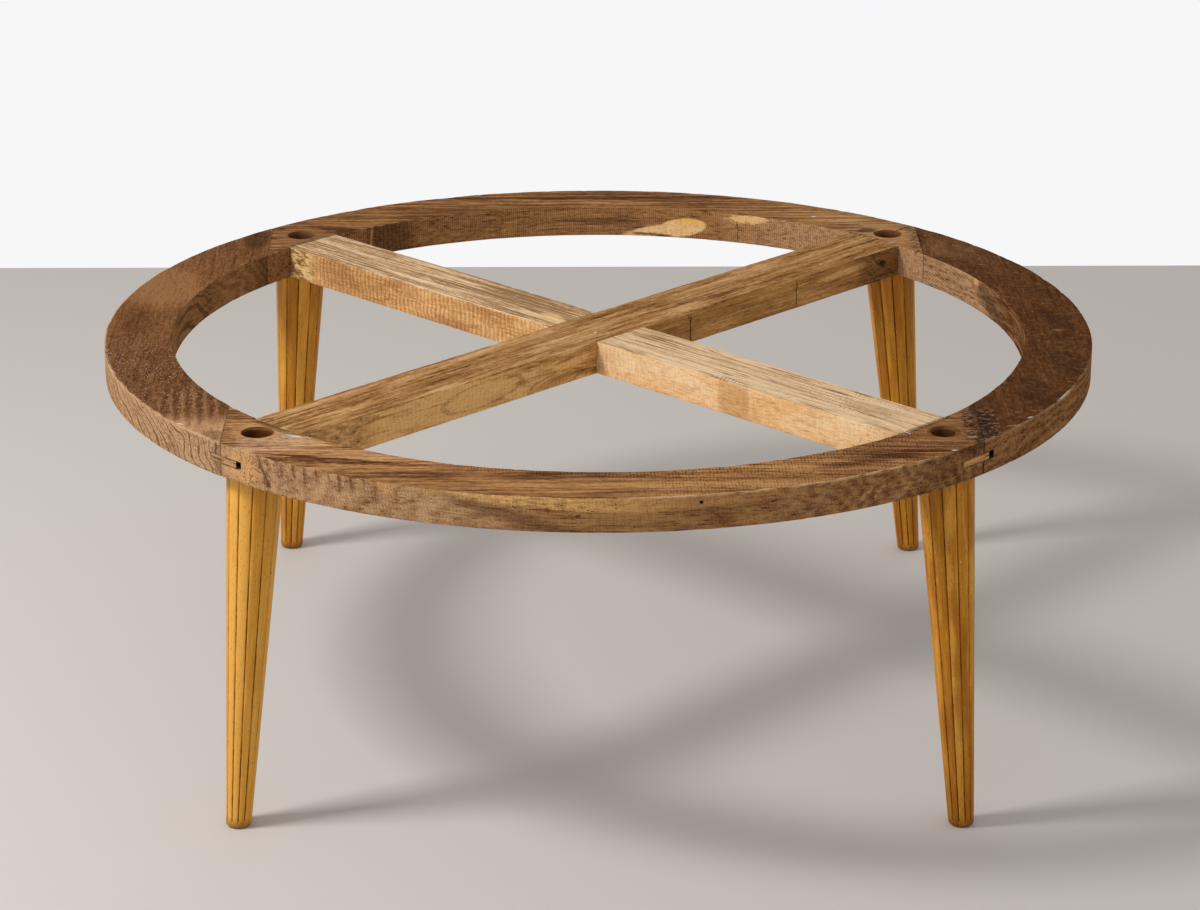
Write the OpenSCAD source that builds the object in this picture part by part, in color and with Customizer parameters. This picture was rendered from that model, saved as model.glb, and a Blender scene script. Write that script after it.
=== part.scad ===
// Underframe of a round coffee table: a rim sawn from four boards, a cross of
// two stretchers halved into each other, and four splayed, fluted legs.
// Millimetres. +Z is up, the feet stand on z = 0, and the rim is centred on Z.
// +Y points away from the viewer and +X to the right.

/* [Rim] */
// Height of the rim's top face above the floor
top_z = 388.5; // [300:0.5:520]
// Outside diameter of the rim
ring_od = 1000; // [800:5:1300]
// Width of the rim, from its outer to its inner face
ring_w = 68; // [64:1:90]
// Thickness of the rim and of the stretchers, which are flush with it
ring_t = 33.5; // [28:0.5:45]
// Size of the worn edges around the rim
arris = 0.8; // [0.2:0.1:2]

/* [Rim joints] */
// Thickness of the loose tongues
tongue_t = 8; // [5:0.5:10]
// Width of the loose tongues, across the joint
tongue_w = 26; // [22:1:34]
// Width of a tongue's slot in the front or back board
slot_in = 20.5; // [14:0.5:22]
// Empty end that a tongue leaves in its slot
slot_slack = 5; // [1:0.5:8]
// Depth of the tongues' slots from the rim's outer face
slot_deep = 22; // [14:0.5:24]
// Clearance above and behind a tongue in its slot
slot_gap = 0.3; // [0.1:0.05:0.8]
// Distance from a leg's bore to the rim's joint beside it
joint_off = 15.5; // [10:0.5:24]

/* [Legs] */
// Distance from the rim's outer edge to a bore's centre, on the top face
leg_in = 43; // [40:0.5:46]
// Outward slope of the two front legs, in degrees
splay_front = 6.4; // [0:0.1:10]
// Outward slope of the two back legs, in degrees
splay_back = 8.2; // [0:0.1:10]
// Diameter of a leg under the rim
leg_top_d = 55; // [44:0.5:56]
// Diameter of a leg at the floor
leg_foot_d = 24.5; // [20:0.5:40]
// Rounding of a foot's lower edge
foot_round = 4; // [1:0.5:6]
// Number of grooves around a leg
flutes = 12; // [8:1:16]
// Width of a groove
flute_w = 2.4; // [1.2:0.1:4]
// Depth of a groove
flute_d = 1.4; // [0.6:0.1:2.4]
// Plain length left below the grooves
flute_stop = 7; // [2:0.5:30]

/* [Leg tenons] */
// Diameter of the bores for the legs
bore_d = 30; // [24:0.5:32]
// Clearance around a tenon in its bore
tenon_gap = 0.1; // [0.05:0.05:0.3]
// Depth of a tenon's end below the rim's top face
tenon_drop = 12; // [4:0.5:18]

/* [Stretchers] */
// Width of the stretchers
bar_w = 69; // [60:1:76]
// Sideways shift of the long stretcher from the rim's centre
long_shift = -3; // [-5:0.5:5]
// Sideways shift of the cut stretcher from the rim's centre
cross_shift = -6; // [-6:0.5:5]
// Depth of the flat seats that the stretchers' ends bear on
seat_d = 2; // [1:0.5:4]
// Clearance beside a stretcher in its seat
seat_gap = 0.2; // [0.1:0.05:0.5]
// Clearance beside each stretcher in the other one's notch
lap_gap = 0.2; // [0.1:0.05:0.5]

/* [Dowels] */
// Diameter of the dowels in the stretchers' ends
dowel_d = 8; // [6:0.5:8.5]
// Length of a dowel
dowel_l = 40; // [30:1:60]
// Length of a dowel that sits in the rim
dowel_in = 14; // [8:1:16]
// Distance between the two dowels of one end
dowel_pitch = 42; // [40:0.5:44]
// Clearance around a dowel in its hole
dowel_gap = 0.1; // [0.05:0.05:0.3]
// Clearance at the ends of a dowel
dowel_end = 1; // [0.5:0.5:3]

/* [Staples] */
// Width of a staple's crown
staple_w = 11; // [8:0.5:13]
// Length of a staple's prongs
staple_l = 9; // [5:0.5:10]
// Thickness of the staples' wire
staple_wire = 1.2; // [0.8:0.1:1.6]
// Clearance around a staple in the wood
staple_gap = 0.1; // [0.05:0.05:0.3]

/* [Hidden] */

// Directions of the four corners: a leg, a stretcher's end and a rim joint are
// at each.
FR = -45;
BR = 45;
BL = 135;
FL = -135;

ring_or = ring_od / 2;
ring_ir = ring_or - ring_w;
under_z = top_z - ring_t;
mid_z = top_z - ring_t / 2;
cut = 1;

// The bores were drilled by eye, so each leg also leans a little sideways, in
// degrees, counterclockwise seen from above.
lean_front_right = -1;
lean_back_right = 0.3;
lean_back_left = -3;
lean_front_left = 0.8;

function splay(a) = a < 0 ? splay_front : splay_back;
function lean(a) = a == FR ? lean_front_right
                 : a == BR ? lean_back_right
                 : a == BL ? lean_back_left
                 : lean_front_left;
// The front right bore also lies this far beside its corner's line,
// counterclockwise seen from above.
aside_front_right = -4;
function aside(a) = a == FR ? aside_front_right : 0;
// Angle between a leg and the upright
function tilt(a) = acos(cos(splay(a)) * cos(lean(a)));

// A leg's bore leaves the top face at this radius and slopes outwards.
hole_r = ring_or - leg_in;
steepest = max(splay_front, splay_back);
hole_mid_r = hole_r + ring_t / 2 * tan(steepest);
tenon_d = bore_d - 2 * tenon_gap;

// The rim's joints are square to the front and back boards, just outside the
// bores.
joint_x = hole_mid_r * cos(BR) + bore_d / 2 / cos(steepest) + joint_off;

// The tongues' slots are cut across the joints from the rim's outer face, to
// the same depth all along, and stay clear of the bores.
slot_w = tongue_w + slot_slack;
slot_h = tongue_t + slot_gap;
slot_r = ring_or - slot_deep;

// Lengths along a leg, from the bore's centre on the top face.
foot_flat = leg_foot_d / 2 - foot_round;
spare = leg_top_d / 4;
function shoulder_l(a) = ring_t / cos(tilt(a));
function floor_l(a) = top_z / cos(tilt(a));
function end_l(a) = floor_l(a) + foot_flat * tan(tilt(a));
function tenon_l(a) = tenon_drop / cos(tilt(a));
function taper(a) = atan((leg_top_d - leg_foot_d) / 2 / (floor_l(a) - shoulder_l(a)));
function leg_r(a, l) = leg_top_d / 2 - (l - shoulder_l(a)) * tan(taper(a));

// The stretchers' ends bear on the rim at this distance from its centre.
seat_r = ring_ir + seat_d;

// Two staples cross the seams between the stretchers' ends and the rim: how far
// they lie from the corner's line, and how they are turned from it.
seam_off_front = -30;
seam_turn_front = 3;
seam_off_back = -23;
seam_turn_back = -53;

// The third staple lies beside the front right joint.
staple_edge = 15.6;
staple_back = 11;
staple_turn = 17;
staple_x = joint_x - staple_back;
staple_y = -sqrt(pow(ring_or - staple_edge, 2) - pow(staple_x, 2));

// How far each leg was turned before it was glued in, in grooves.
turn_even = 0.5;
turn_front_right = 0;

// Smoothness of the round parts
$fn = 180;

module ring_blank() {
    rotate_extrude()
        polygon([
            [ring_ir + arris, under_z],
            [ring_or - arris, under_z],
            [ring_or, under_z + arris],
            [ring_or, top_z - arris],
            [ring_or - arris, top_z],
            [ring_ir + arris, top_z],
            [ring_ir, top_z - arris],
            [ring_ir, under_z + arris]
        ]);
}

// A slab across the whole rim, from x0 to x1, and on one side of y = 0 or both.
module slab(x0, x1, y0, y1, z0, z1) {
    translate([x0, y0, z0])
        cube([x1 - x0, y1 - y0, z1 - z0]);
}

// The long front or back board of the rim, for side -1 or 1.
module end_board(side) {
    intersection() {
        ring_blank();
        slab(-joint_x, joint_x, side < 0 ? -ring_or - cut : 0, side < 0 ? 0 : ring_or + cut,
             under_z - cut, top_z + cut);
    }
}

// The board at the right or left, for side 1 or -1.
module side_board(side) {
    intersection() {
        ring_blank();
        slab(side < 0 ? -ring_or - cut : joint_x, side < 0 ? -joint_x : ring_or + cut,
             -ring_or, ring_or, under_z - cut, top_z + cut);
    }
}

// Where a slot starts.
function slot_x(side) = side > 0 ? joint_x - slot_in : -joint_x - (slot_w - slot_in);

// The front and back slots at one side of the rim.
module slots(side) {
    difference() {
        slab(slot_x(side), slot_x(side) + slot_w, -ring_or, ring_or,
             mid_z - slot_h / 2, mid_z + slot_h / 2);
        translate([0, 0, under_z])
            cylinder(h = ring_t, r = slot_r);
    }
}

// A tongue lies on its slot's floor, against its left end, and was sawn to the
// rim's curve with the boards.
module tongue(side_x, side_y) {
    intersection() {
        translate([0, 0, mid_z - slot_h / 2])
            difference() {
                cylinder(h = tongue_t, r = ring_or);
                translate([0, 0, -cut])
                    cylinder(h = tongue_t + 2 * cut, r = slot_r + slot_gap);
            }
        slab(slot_x(side_x), slot_x(side_x) + tongue_w,
             side_y < 0 ? -ring_or : 0, side_y < 0 ? 0 : ring_or,
             under_z, top_z);
    }
}

// The frame of a leg: its axis is Z, and its origin is the bore's centre on
// the rim's top face.
module at_leg(a) {
    rotate([0, 0, a])
        translate([hole_r, aside(a), top_z])
            rotate([lean(a), -splay(a), 0])
                children();
}

module bore(a) {
    at_leg(a)
        translate([0, 0, -2 * shoulder_l(a)])
            cylinder(h = 4 * shoulder_l(a), d = bore_d);
}

// A turned, tapered leg with a rounded end.
module leg_blank(a) {
    top_l = shoulder_l(a) - spare;
    low_l = end_l(a);
    low_r = leg_r(a, low_l);
    rotate_extrude()
        polygon(concat(
            [[0, -top_l], [0, -low_l]],
            [for (i = [0:6]) let (b = 15 * i)
                [low_r - foot_round + foot_round * sin(b),
                 -low_l + foot_round - foot_round * cos(b)]],
            [[leg_r(a, top_l), -top_l]]
        ));
}

// One V groove that follows the taper, from the foot up past the shoulder.
module flute(a) {
    start_l = floor_l(a) - flute_stop;
    translate([leg_r(a, start_l), 0, -start_l])
        rotate([0, taper(a), 0])
            linear_extrude(height = start_l - shoulder_l(a) + spare)
                polygon([
                    [-flute_d, 0],
                    [flute_d, -flute_w],
                    [flute_d, flute_w]
                ]);
}

module leg(a, turn) {
    intersection() {
        at_leg(a)
            difference() {
                leg_blank(a);
                for (i = [0:flutes - 1])
                    rotate([0, 0, (i + turn) * 360 / flutes])
                        flute(a);
            }
        slab(-ring_od, ring_od, -ring_od, ring_od, 0, under_z);
    }
    at_leg(a)
        translate([0, 0, -shoulder_l(a) - spare])
            cylinder(h = shoulder_l(a) + spare - tenon_l(a), d = tenon_d);
}

// The frame of a stretcher: X runs along it.
module along(a, shift) {
    rotate([0, 0, a])
        translate([0, shift, 0])
            children();
}

// A bar of the stretchers' section, with side clearance, between two heights.
module bar(gap, z0, z1) {
    slab(-seat_r, seat_r, -bar_w / 2 - gap, bar_w / 2 + gap, z0, z1);
}

// The flat seats for both stretchers' ends.
module seats() {
    along(BR, long_shift)
        bar(seat_gap, under_z - cut, top_z + cut);
    along(FR, cross_shift)
        bar(seat_gap, under_z - cut, top_z + cut);
}

// The two dowels of one end, or their holes.
module dowel_pair(a, gap, end) {
    rotate([0, 0, a])
        for (side = [-1, 1])
            translate([seat_r + dowel_in - dowel_l - end, side * dowel_pitch / 2, mid_z])
                rotate([0, 90, 0])
                    cylinder(h = dowel_l + 2 * end, d = dowel_d + 2 * gap);
}

module dowel_holes(a) {
    dowel_pair(a, dowel_gap, dowel_end);
}

// Where a staple crosses the seam at a stretcher's end.
module at_seam(a, off, turn) {
    rotate([0, 0, a])
        translate([seat_r, off, top_z])
            rotate([0, 0, turn])
                children();
}

module at_staples() {
    at_seam(FR, seam_off_front, seam_turn_front)
        children();
    at_seam(BR, seam_off_back, seam_turn_back)
        children();
    translate([staple_x, staple_y, top_z])
        rotate([0, 0, staple_turn])
            children();
}

// A staple with its crown flush with the wood, or the room that it takes.
module staple(gap, above) {
    side = staple_wire + 2 * gap;
    translate([-staple_w / 2 - gap, -side / 2, -staple_wire])
        cube([staple_w + 2 * gap, side, staple_wire + above]);
    for (x = [-staple_w / 2, staple_w / 2 - staple_wire])
        translate([x - gap, -side / 2, -staple_l - gap])
            cube([side, side, staple_l + gap]);
}

module staple_holes() {
    at_staples()
        staple(staple_gap, cut);
}

module ring_front() {
    color([0.50, 0.35, 0.24])
        difference() {
            end_board(-1);
            slots(1);
            slots(-1);
            seats();
            bore(FR);
            bore(FL);
            dowel_holes(FR);
            dowel_holes(FL);
            staple_holes();
        }
}

module ring_back() {
    color([0.47, 0.33, 0.22])
        difference() {
            end_board(1);
            slots(1);
            slots(-1);
            seats();
            bore(BR);
            bore(BL);
            dowel_holes(BR);
            dowel_holes(BL);
            staple_holes();
        }
}

module ring_right() {
    color([0.29, 0.18, 0.12])
        difference() {
            side_board(1);
            slots(1);
        }
}

module ring_left() {
    color([0.33, 0.21, 0.14])
        difference() {
            side_board(-1);
            slots(-1);
        }
}

module tongue_front_right() {
    color([0.62, 0.50, 0.34])
        tongue(1, -1);
}

module tongue_back_right() {
    color([0.62, 0.50, 0.34])
        tongue(1, 1);
}

module tongue_back_left() {
    color([0.62, 0.50, 0.34])
        tongue(-1, 1);
}

module tongue_front_left() {
    color([0.68, 0.54, 0.38])
        tongue(-1, -1);
}

// The stretcher whose top runs through: it is notched from below.
module stretcher_long() {
    color([0.60, 0.45, 0.28])
        difference() {
            along(BR, long_shift)
                bar(0, under_z, top_z);
            along(FR, cross_shift)
                bar(lap_gap, under_z - cut, mid_z);
            dowel_holes(BR);
            dowel_holes(FL);
            staple_holes();
        }
}

// The stretcher that passes below: it is notched from above.
module stretcher_cross() {
    color([0.70, 0.55, 0.38])
        difference() {
            along(FR, cross_shift)
                bar(0, under_z, top_z);
            along(BR, long_shift)
                bar(lap_gap, mid_z, top_z + cut);
            dowel_holes(FR);
            dowel_holes(BL);
            staple_holes();
        }
}

module leg_front_right() {
    color([0.78, 0.54, 0.20])
        leg(FR, turn_front_right);
}

module leg_back_right() {
    color([0.74, 0.50, 0.19])
        leg(BR, turn_even);
}

module leg_back_left() {
    color([0.74, 0.50, 0.19])
        leg(BL, turn_even);
}

module leg_front_left() {
    color([0.80, 0.57, 0.24])
        leg(FL, turn_even);
}

module dowels() {
    color([0.80, 0.68, 0.48])
        for (a = [FR, BR, BL, FL])
            dowel_pair(a, 0, 0);
}

module staples() {
    color([0.60, 0.60, 0.62])
        at_staples()
            staple(0, 0);
}

ring_front();
ring_right();
ring_back();
ring_left();
tongue_front_right();
tongue_back_right();
tongue_back_left();
tongue_front_left();
stretcher_long();
stretcher_cross();
leg_front_right();
leg_back_right();
leg_back_left();
leg_front_left();
dowels();
staples();
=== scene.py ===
"""Dresses the underframe of a round coffee table for its render.

It is laid out as an add-on for Blender 4.5 and is run as a script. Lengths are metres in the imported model's
own frame: +Z is up, the feet stand on z = 0, +Y points away from the viewer and +X to the right.
"""
import math

import bmesh
import bpy
import numpy as np
from bpy.props import (
    FloatProperty,
    FloatVectorProperty,
    IntProperty,
    PointerProperty,
)
from mathutils import Matrix, Vector


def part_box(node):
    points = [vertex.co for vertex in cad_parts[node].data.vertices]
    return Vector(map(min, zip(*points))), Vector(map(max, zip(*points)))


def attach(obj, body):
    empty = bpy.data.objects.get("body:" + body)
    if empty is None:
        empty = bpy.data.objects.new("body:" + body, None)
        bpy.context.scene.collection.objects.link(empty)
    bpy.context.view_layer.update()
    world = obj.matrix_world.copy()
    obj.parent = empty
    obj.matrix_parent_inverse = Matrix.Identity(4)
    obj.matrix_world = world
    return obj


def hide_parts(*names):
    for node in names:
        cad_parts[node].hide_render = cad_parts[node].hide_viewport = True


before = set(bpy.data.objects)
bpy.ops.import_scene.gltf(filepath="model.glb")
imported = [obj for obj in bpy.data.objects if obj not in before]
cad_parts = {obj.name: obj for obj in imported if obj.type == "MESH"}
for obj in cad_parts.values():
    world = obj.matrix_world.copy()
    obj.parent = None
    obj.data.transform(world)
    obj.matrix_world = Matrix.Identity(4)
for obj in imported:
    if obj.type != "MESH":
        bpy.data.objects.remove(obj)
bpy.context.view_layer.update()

bl_info = {
    "name": "Round coffee table underframe",
    "version": (1, 0, 0),
    "blender": (4, 5, 0),
    "location": "View3D > Sidebar > Coffee table",
    "description": "Sawn rim, cross of stretchers and fluted legs of a round coffee table",
    "category": "Object",
}

FRONT_LOW, FRONT_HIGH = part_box("ring_front")
RIM_TOP = FRONT_HIGH.z
RIM_UNDER = FRONT_LOW.z
RIM_RADIUS = -FRONT_LOW.y
JOINT_X = FRONT_HIGH.x
MID_Z = (RIM_TOP + RIM_UNDER) / 2
MM = 0.001

# Directions of the four corners, in degrees. A leg, a stretcher's end and a rim joint are at each.
FRONT_RIGHT = -45
BACK_RIGHT = 45
BACK_LEFT = 135
FRONT_LEFT = -135


def length(name, default, description):
    """A property that holds a length."""
    return FloatProperty(name=name, description=description, default=default, unit="LENGTH", precision=5)


def angle(name, default, description):
    """A property that holds an angle, with its default in degrees."""
    return FloatProperty(name=name, description=description, default=math.radians(default), subtype="ANGLE")


def colour(name, default, description):
    """A property that holds a colour."""
    return FloatVectorProperty(
        name=name, description=description, default=default, subtype="COLOR", size=3, min=0.0, max=1.0
    )


class RimSettings(bpy.types.PropertyGroup):
    """Sizes and colours of the rim's boards and of the loose tongues in its joints."""

    width: length("Width", 0.068, "Width of the rim, from its outer to its inner face")
    wear: length("Edge wear", 0.001, "Usual rounding of the worn edges")
    joint_gap: length("Joint gap", 0.00018, "Wood left off each board's end, which shows the joint")
    saw_depth: length("Saw marks", 0.00028, "Depth of the saw marks on the sawn faces")
    bore: length("Bore", 0.03, "Diameter of the bores for the legs")
    bore_at: length("Bore distance", 0.457, "Distance of the bores from the centre, on the top face")
    lip: length("Torn lip", 0.0058, "How far torn wood narrows the front right bore at its mouth")
    slot_in: length("Slot inset", 0.0205, "Width of a tongue's slot in the front or back board")
    slot_wide: length("Slot width", 0.031, "Width of a tongue's slot, across the joint")
    slot_high: length("Slot height", 0.0083, "Height of a tongue's slot")
    slot_deep: length("Slot depth", 0.022, "Depth of a tongue's slot from the outer face")
    tongue_wide: length("Tongue width", 0.026, "Width of a loose tongue")
    tongue_high: length("Tongue thickness", 0.008, "Thickness of a loose tongue")
    brown_dark: colour("Brown, dark", (0.082, 0.035, 0.015), "Darkest streaks of the front and back boards")
    brown: colour("Brown", (0.252, 0.114, 0.044), "Body of the front and back boards")
    brown_light: colour("Brown, light", (0.45, 0.234, 0.09), "Light streaks of the front and back boards")
    red_dark: colour("Red brown, dark", (0.03, 0.011, 0.004), "Darkest streaks of the side boards")
    red: colour("Red brown", (0.098, 0.037, 0.014), "Body of the side boards")
    red_light: colour("Red brown, light", (0.235, 0.108, 0.045), "Lightest streaks of the side boards")
    tan_dark: colour("Tan, dark", (0.17, 0.08, 0.037), "Darkest streaks of the pale sawn faces")
    tan: colour("Tan", (0.4, 0.215, 0.105), "Body of the pale sawn faces")
    tan_light: colour("Tan, light", (0.6, 0.37, 0.2), "Lightest streaks of the pale sawn faces")
    gold: colour("Gold", (0.74, 0.405, 0.15), "Bare sapwood streaks and patches")
    stain: colour("Stain", (0.026, 0.016, 0.011), "Knots, glue stains and cracks")
    dust: colour("Dust", (0.62, 0.56, 0.48), "Specks of dust and old paint")
    tongue: colour("Tongues", (0.36, 0.2, 0.09), "Body of the loose tongues")


class StretcherSettings(bpy.types.PropertyGroup):
    """Sizes and colours of the two stretchers and of their dowels."""

    width: length("Width", 0.069, "Width of the stretchers")
    reach: length("Half length", 0.434, "Distance of the stretchers' ends from the rim's centre")
    long_shift: length("Long shift", -0.003, "Sideways shift of the long stretcher from the centre")
    cross_shift: length("Cross shift", -0.006, "Sideways shift of the cross stretcher from the centre")
    lap_gap: length("Lap gap", 0.0002, "Clearance beside each stretcher in the other one's notch")
    wear: length("Edge wear", 0.0009, "Usual rounding of the worn edges")
    saw_depth: length("Saw ribs", 0.0005, "Depth of the band saw's ribs on the cross stretcher")
    rib_gap: length("Rib spacing", 0.0061, "Spacing of the band saw's ribs")
    dowel: length("Dowel", 0.008, "Diameter of the hidden dowels")
    dowel_long: length("Dowel length", 0.04, "Length of the hidden dowels")
    dowel_in: length("Dowel in rim", 0.014, "Length of a dowel that sits in the rim")
    dowel_pitch: length("Dowel pitch", 0.042, "Distance between the two dowels of one end")
    oak_dark: colour("Oak, dark", (0.062, 0.027, 0.01), "Dark streaks of the long stretcher")
    oak: colour("Oak", (0.33, 0.155, 0.053), "Body of the long stretcher")
    oak_light: colour("Oak, light", (0.54, 0.33, 0.15), "Light streaks of the long stretcher")
    honey_side: colour("Honey side", (0.5, 0.25, 0.078), "Body of the long stretcher's sides")
    honey_pale: colour("Honey side, pale", (0.87, 0.51, 0.195), "Pale figure of the long stretcher's sides")
    peach: colour("Peach", (0.84, 0.475, 0.195), "Freshly sawn sides of the cross stretcher")
    pale: colour("Peach, pale", (0.93, 0.66, 0.38), "Palest grain of the cross stretcher's sides")
    peach_dark: colour("Peach, dark", (0.43, 0.21, 0.08), "Hollows between the saw's ribs")
    straw: colour("Straw", (0.54, 0.345, 0.18), "Top of the cross stretcher")
    straw_dark: colour("Straw, dark", (0.27, 0.15, 0.07), "Dark grain of the cross stretcher's top")
    straw_light: colour("Straw, light", (0.75, 0.535, 0.325), "Light grain of the cross stretcher's top")
    fresh: colour("Fresh break", (0.78, 0.54, 0.22), "Torn yellow wood near the stretchers' ends")
    stain: colour("Stain", (0.026, 0.014, 0.008), "Cracks, knots and dark dots of the stretchers")
    dowel_pale: colour("Dowels", (0.6, 0.43, 0.22), "Beech of the dowels")


class LegSettings(bpy.types.PropertyGroup):
    """Sizes, slopes and colours of the fluted legs."""

    splay_front: angle("Front slope", 6.4, "Outward slope of the two front legs")
    splay_back: angle("Back slope", 8.2, "Outward slope of the two back legs")
    lean_front_right: angle("Front right lean", -1.0, "Sideways lean, counterclockwise from above")
    lean_back_right: angle("Back right lean", 0.3, "Sideways lean, counterclockwise from above")
    lean_back_left: angle("Back left lean", -3.0, "Sideways lean, counterclockwise from above")
    lean_front_left: angle("Front left lean", 0.8, "Sideways lean, counterclockwise from above")
    aside_front_right: length("Front right shift", -0.004, "Sideways shift of the front right bore")
    top: length("Top diameter", 0.055, "Diameter of a leg under the rim")
    foot: length("Foot diameter", 0.0245, "Diameter of a leg at the floor")
    foot_round: length("Foot rounding", 0.004, "Rounding of a foot's lower edge")
    grooves: IntProperty(name="Grooves", description="Number of grooves around a leg", default=12, min=4)
    groove_wide: length("Groove width", 0.0022, "Width of a groove")
    groove_deep: length("Groove depth", 0.0013, "Depth of a groove")
    groove_stop: length("Groove stop", 0.007, "Plain length left below the grooves")
    crown: length("Reed crown", 0.0004, "How far the reeds between the grooves bulge")
    tenon: length("Tenon", 0.0298, "Diameter of the tenon in the rim's bore")
    tenon_drop: length("Tenon drop", 0.012, "Depth of the tenon's end below the rim's top face")
    honey_dark: colour("Honey, dark", (0.33, 0.122, 0.01), "Dark grain under the varnish")
    honey: colour("Honey", (0.62, 0.268, 0.026), "Varnished legs")
    honey_light: colour("Honey, light", (0.84, 0.43, 0.08), "Light grain under the varnish")
    red: colour("Red varnish", (0.36, 0.11, 0.01), "Redder stretches of the varnish")
    # this colour is also laid as painted shade on each leg just under the rim
    groove: colour("Grooves", (0.105, 0.036, 0.006), "Dark old varnish in the grooves")
    end_dark: colour("Tenon end, dark", (0.022, 0.009, 0.004), "Dark end grain of the tenons")
    end_light: colour("Tenon end, light", (0.075, 0.032, 0.014), "Light end grain of the tenons")


class StapleSettings(bpy.types.PropertyGroup):
    """Sizes and colour of the three wire staples."""

    crown: length("Crown width", 0.011, "Width of a staple's crown")
    seam: length("Seam distance", 0.434, "Distance from the centre of the staples at the stretchers' ends")
    front_off: length("Front seam shift", -0.03, "Shift of the front staple along its seam")
    front_turn: angle("Front seam turn", 3.0, "Turn of the front staple against its stretcher")
    back_off: length("Back seam shift", -0.023, "Shift of the back staple along its seam")
    back_turn: angle("Back seam turn", -53.0, "Turn of the back staple against its stretcher")
    joint_off: length("Joint shift", 0.011, "Distance of the third staple from the front right joint")
    joint_edge: length("Joint edge", 0.0156, "Distance of the third staple from the rim's outer edge")
    joint_turn: angle("Joint turn", 17.0, "Turn of the third staple from +X")
    prong: length("Prong length", 0.009, "Length of a staple's prongs")
    wire: length("Wire", 0.0012, "Thickness of the wire")
    steel: colour("Steel", (0.56, 0.55, 0.6), "Bare steel wire")
    tarnish: colour("Tarnish", (0.3, 0.27, 0.27), "Dull spots on the wire")


class StageSettings(bpy.types.PropertyGroup):
    """The camera, the floor and the lights."""

    lens: FloatProperty(name="Lens", description="Focal length on a 36 mm sensor", default=110.0)
    eye: FloatVectorProperty(
        name="Camera", description="Place", default=(-0.0433, -3.559, 1.5448), subtype="TRANSLATION"
    )
    pitch: angle("Pitch", 20.03, "How far the camera looks down")
    yaw: angle("Yaw", 0.728, "How far the camera looks to the right")
    roll: angle("Roll", 0.092, "How far the camera leans to the left")
    floor: colour("Floor", (0.56, 0.52, 0.485), "The plain floor")
    wall: colour("Wall", (0.93, 0.93, 0.94), "The plain background")
    floor_end: length("Floor end", 1.465, "Distance behind the table at which the floor ends")
    sky: FloatProperty(name="Fill", description="Strength of the light from all sides", default=0.6)
    key: FloatProperty(name="Key", description="Power of the soft lamp at the left, in watts", default=44.0)
    key_azimuth: angle("Key azimuth", 200.0, "Direction of the soft lamp, from +X")
    key_height: angle("Key height", 45.0, "Height of the soft lamp above the horizon")
    key_far: length("Key distance", 2.6, "Distance of the soft lamp")
    key_size: length("Key size", 0.55, "Width of the soft lamp")


class TableSettings(bpy.types.PropertyGroup):
    """Everything that the operators read."""

    rim: PointerProperty(type=RimSettings)
    stretchers: PointerProperty(type=StretcherSettings)
    legs: PointerProperty(type=LegSettings)
    staples: PointerProperty(type=StapleSettings)
    stage: PointerProperty(type=StageSettings)


class Wire:
    """One output socket of a node tree, with which sums are written as plain expressions."""

    def __init__(self, sheet, socket):
        self.sheet = sheet
        self.socket = socket

    def __add__(self, other):
        return self.sheet.math("ADD", self, other)

    def __radd__(self, other):
        return self.sheet.math("ADD", other, self)

    def __sub__(self, other):
        return self.sheet.math("SUBTRACT", self, other)

    def __rsub__(self, other):
        return self.sheet.math("SUBTRACT", other, self)

    def __mul__(self, other):
        return self.sheet.math("MULTIPLY", self, other)

    def __rmul__(self, other):
        return self.sheet.math("MULTIPLY", other, self)

    def __truediv__(self, other):
        return self.sheet.math("DIVIDE", self, other)

    def __pow__(self, other):
        return self.sheet.math("POWER", self, other)

    def __neg__(self):
        return self.sheet.math("MULTIPLY", self, -1.0)

    def __abs__(self):
        return self.sheet.math("ABSOLUTE", self)


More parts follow.
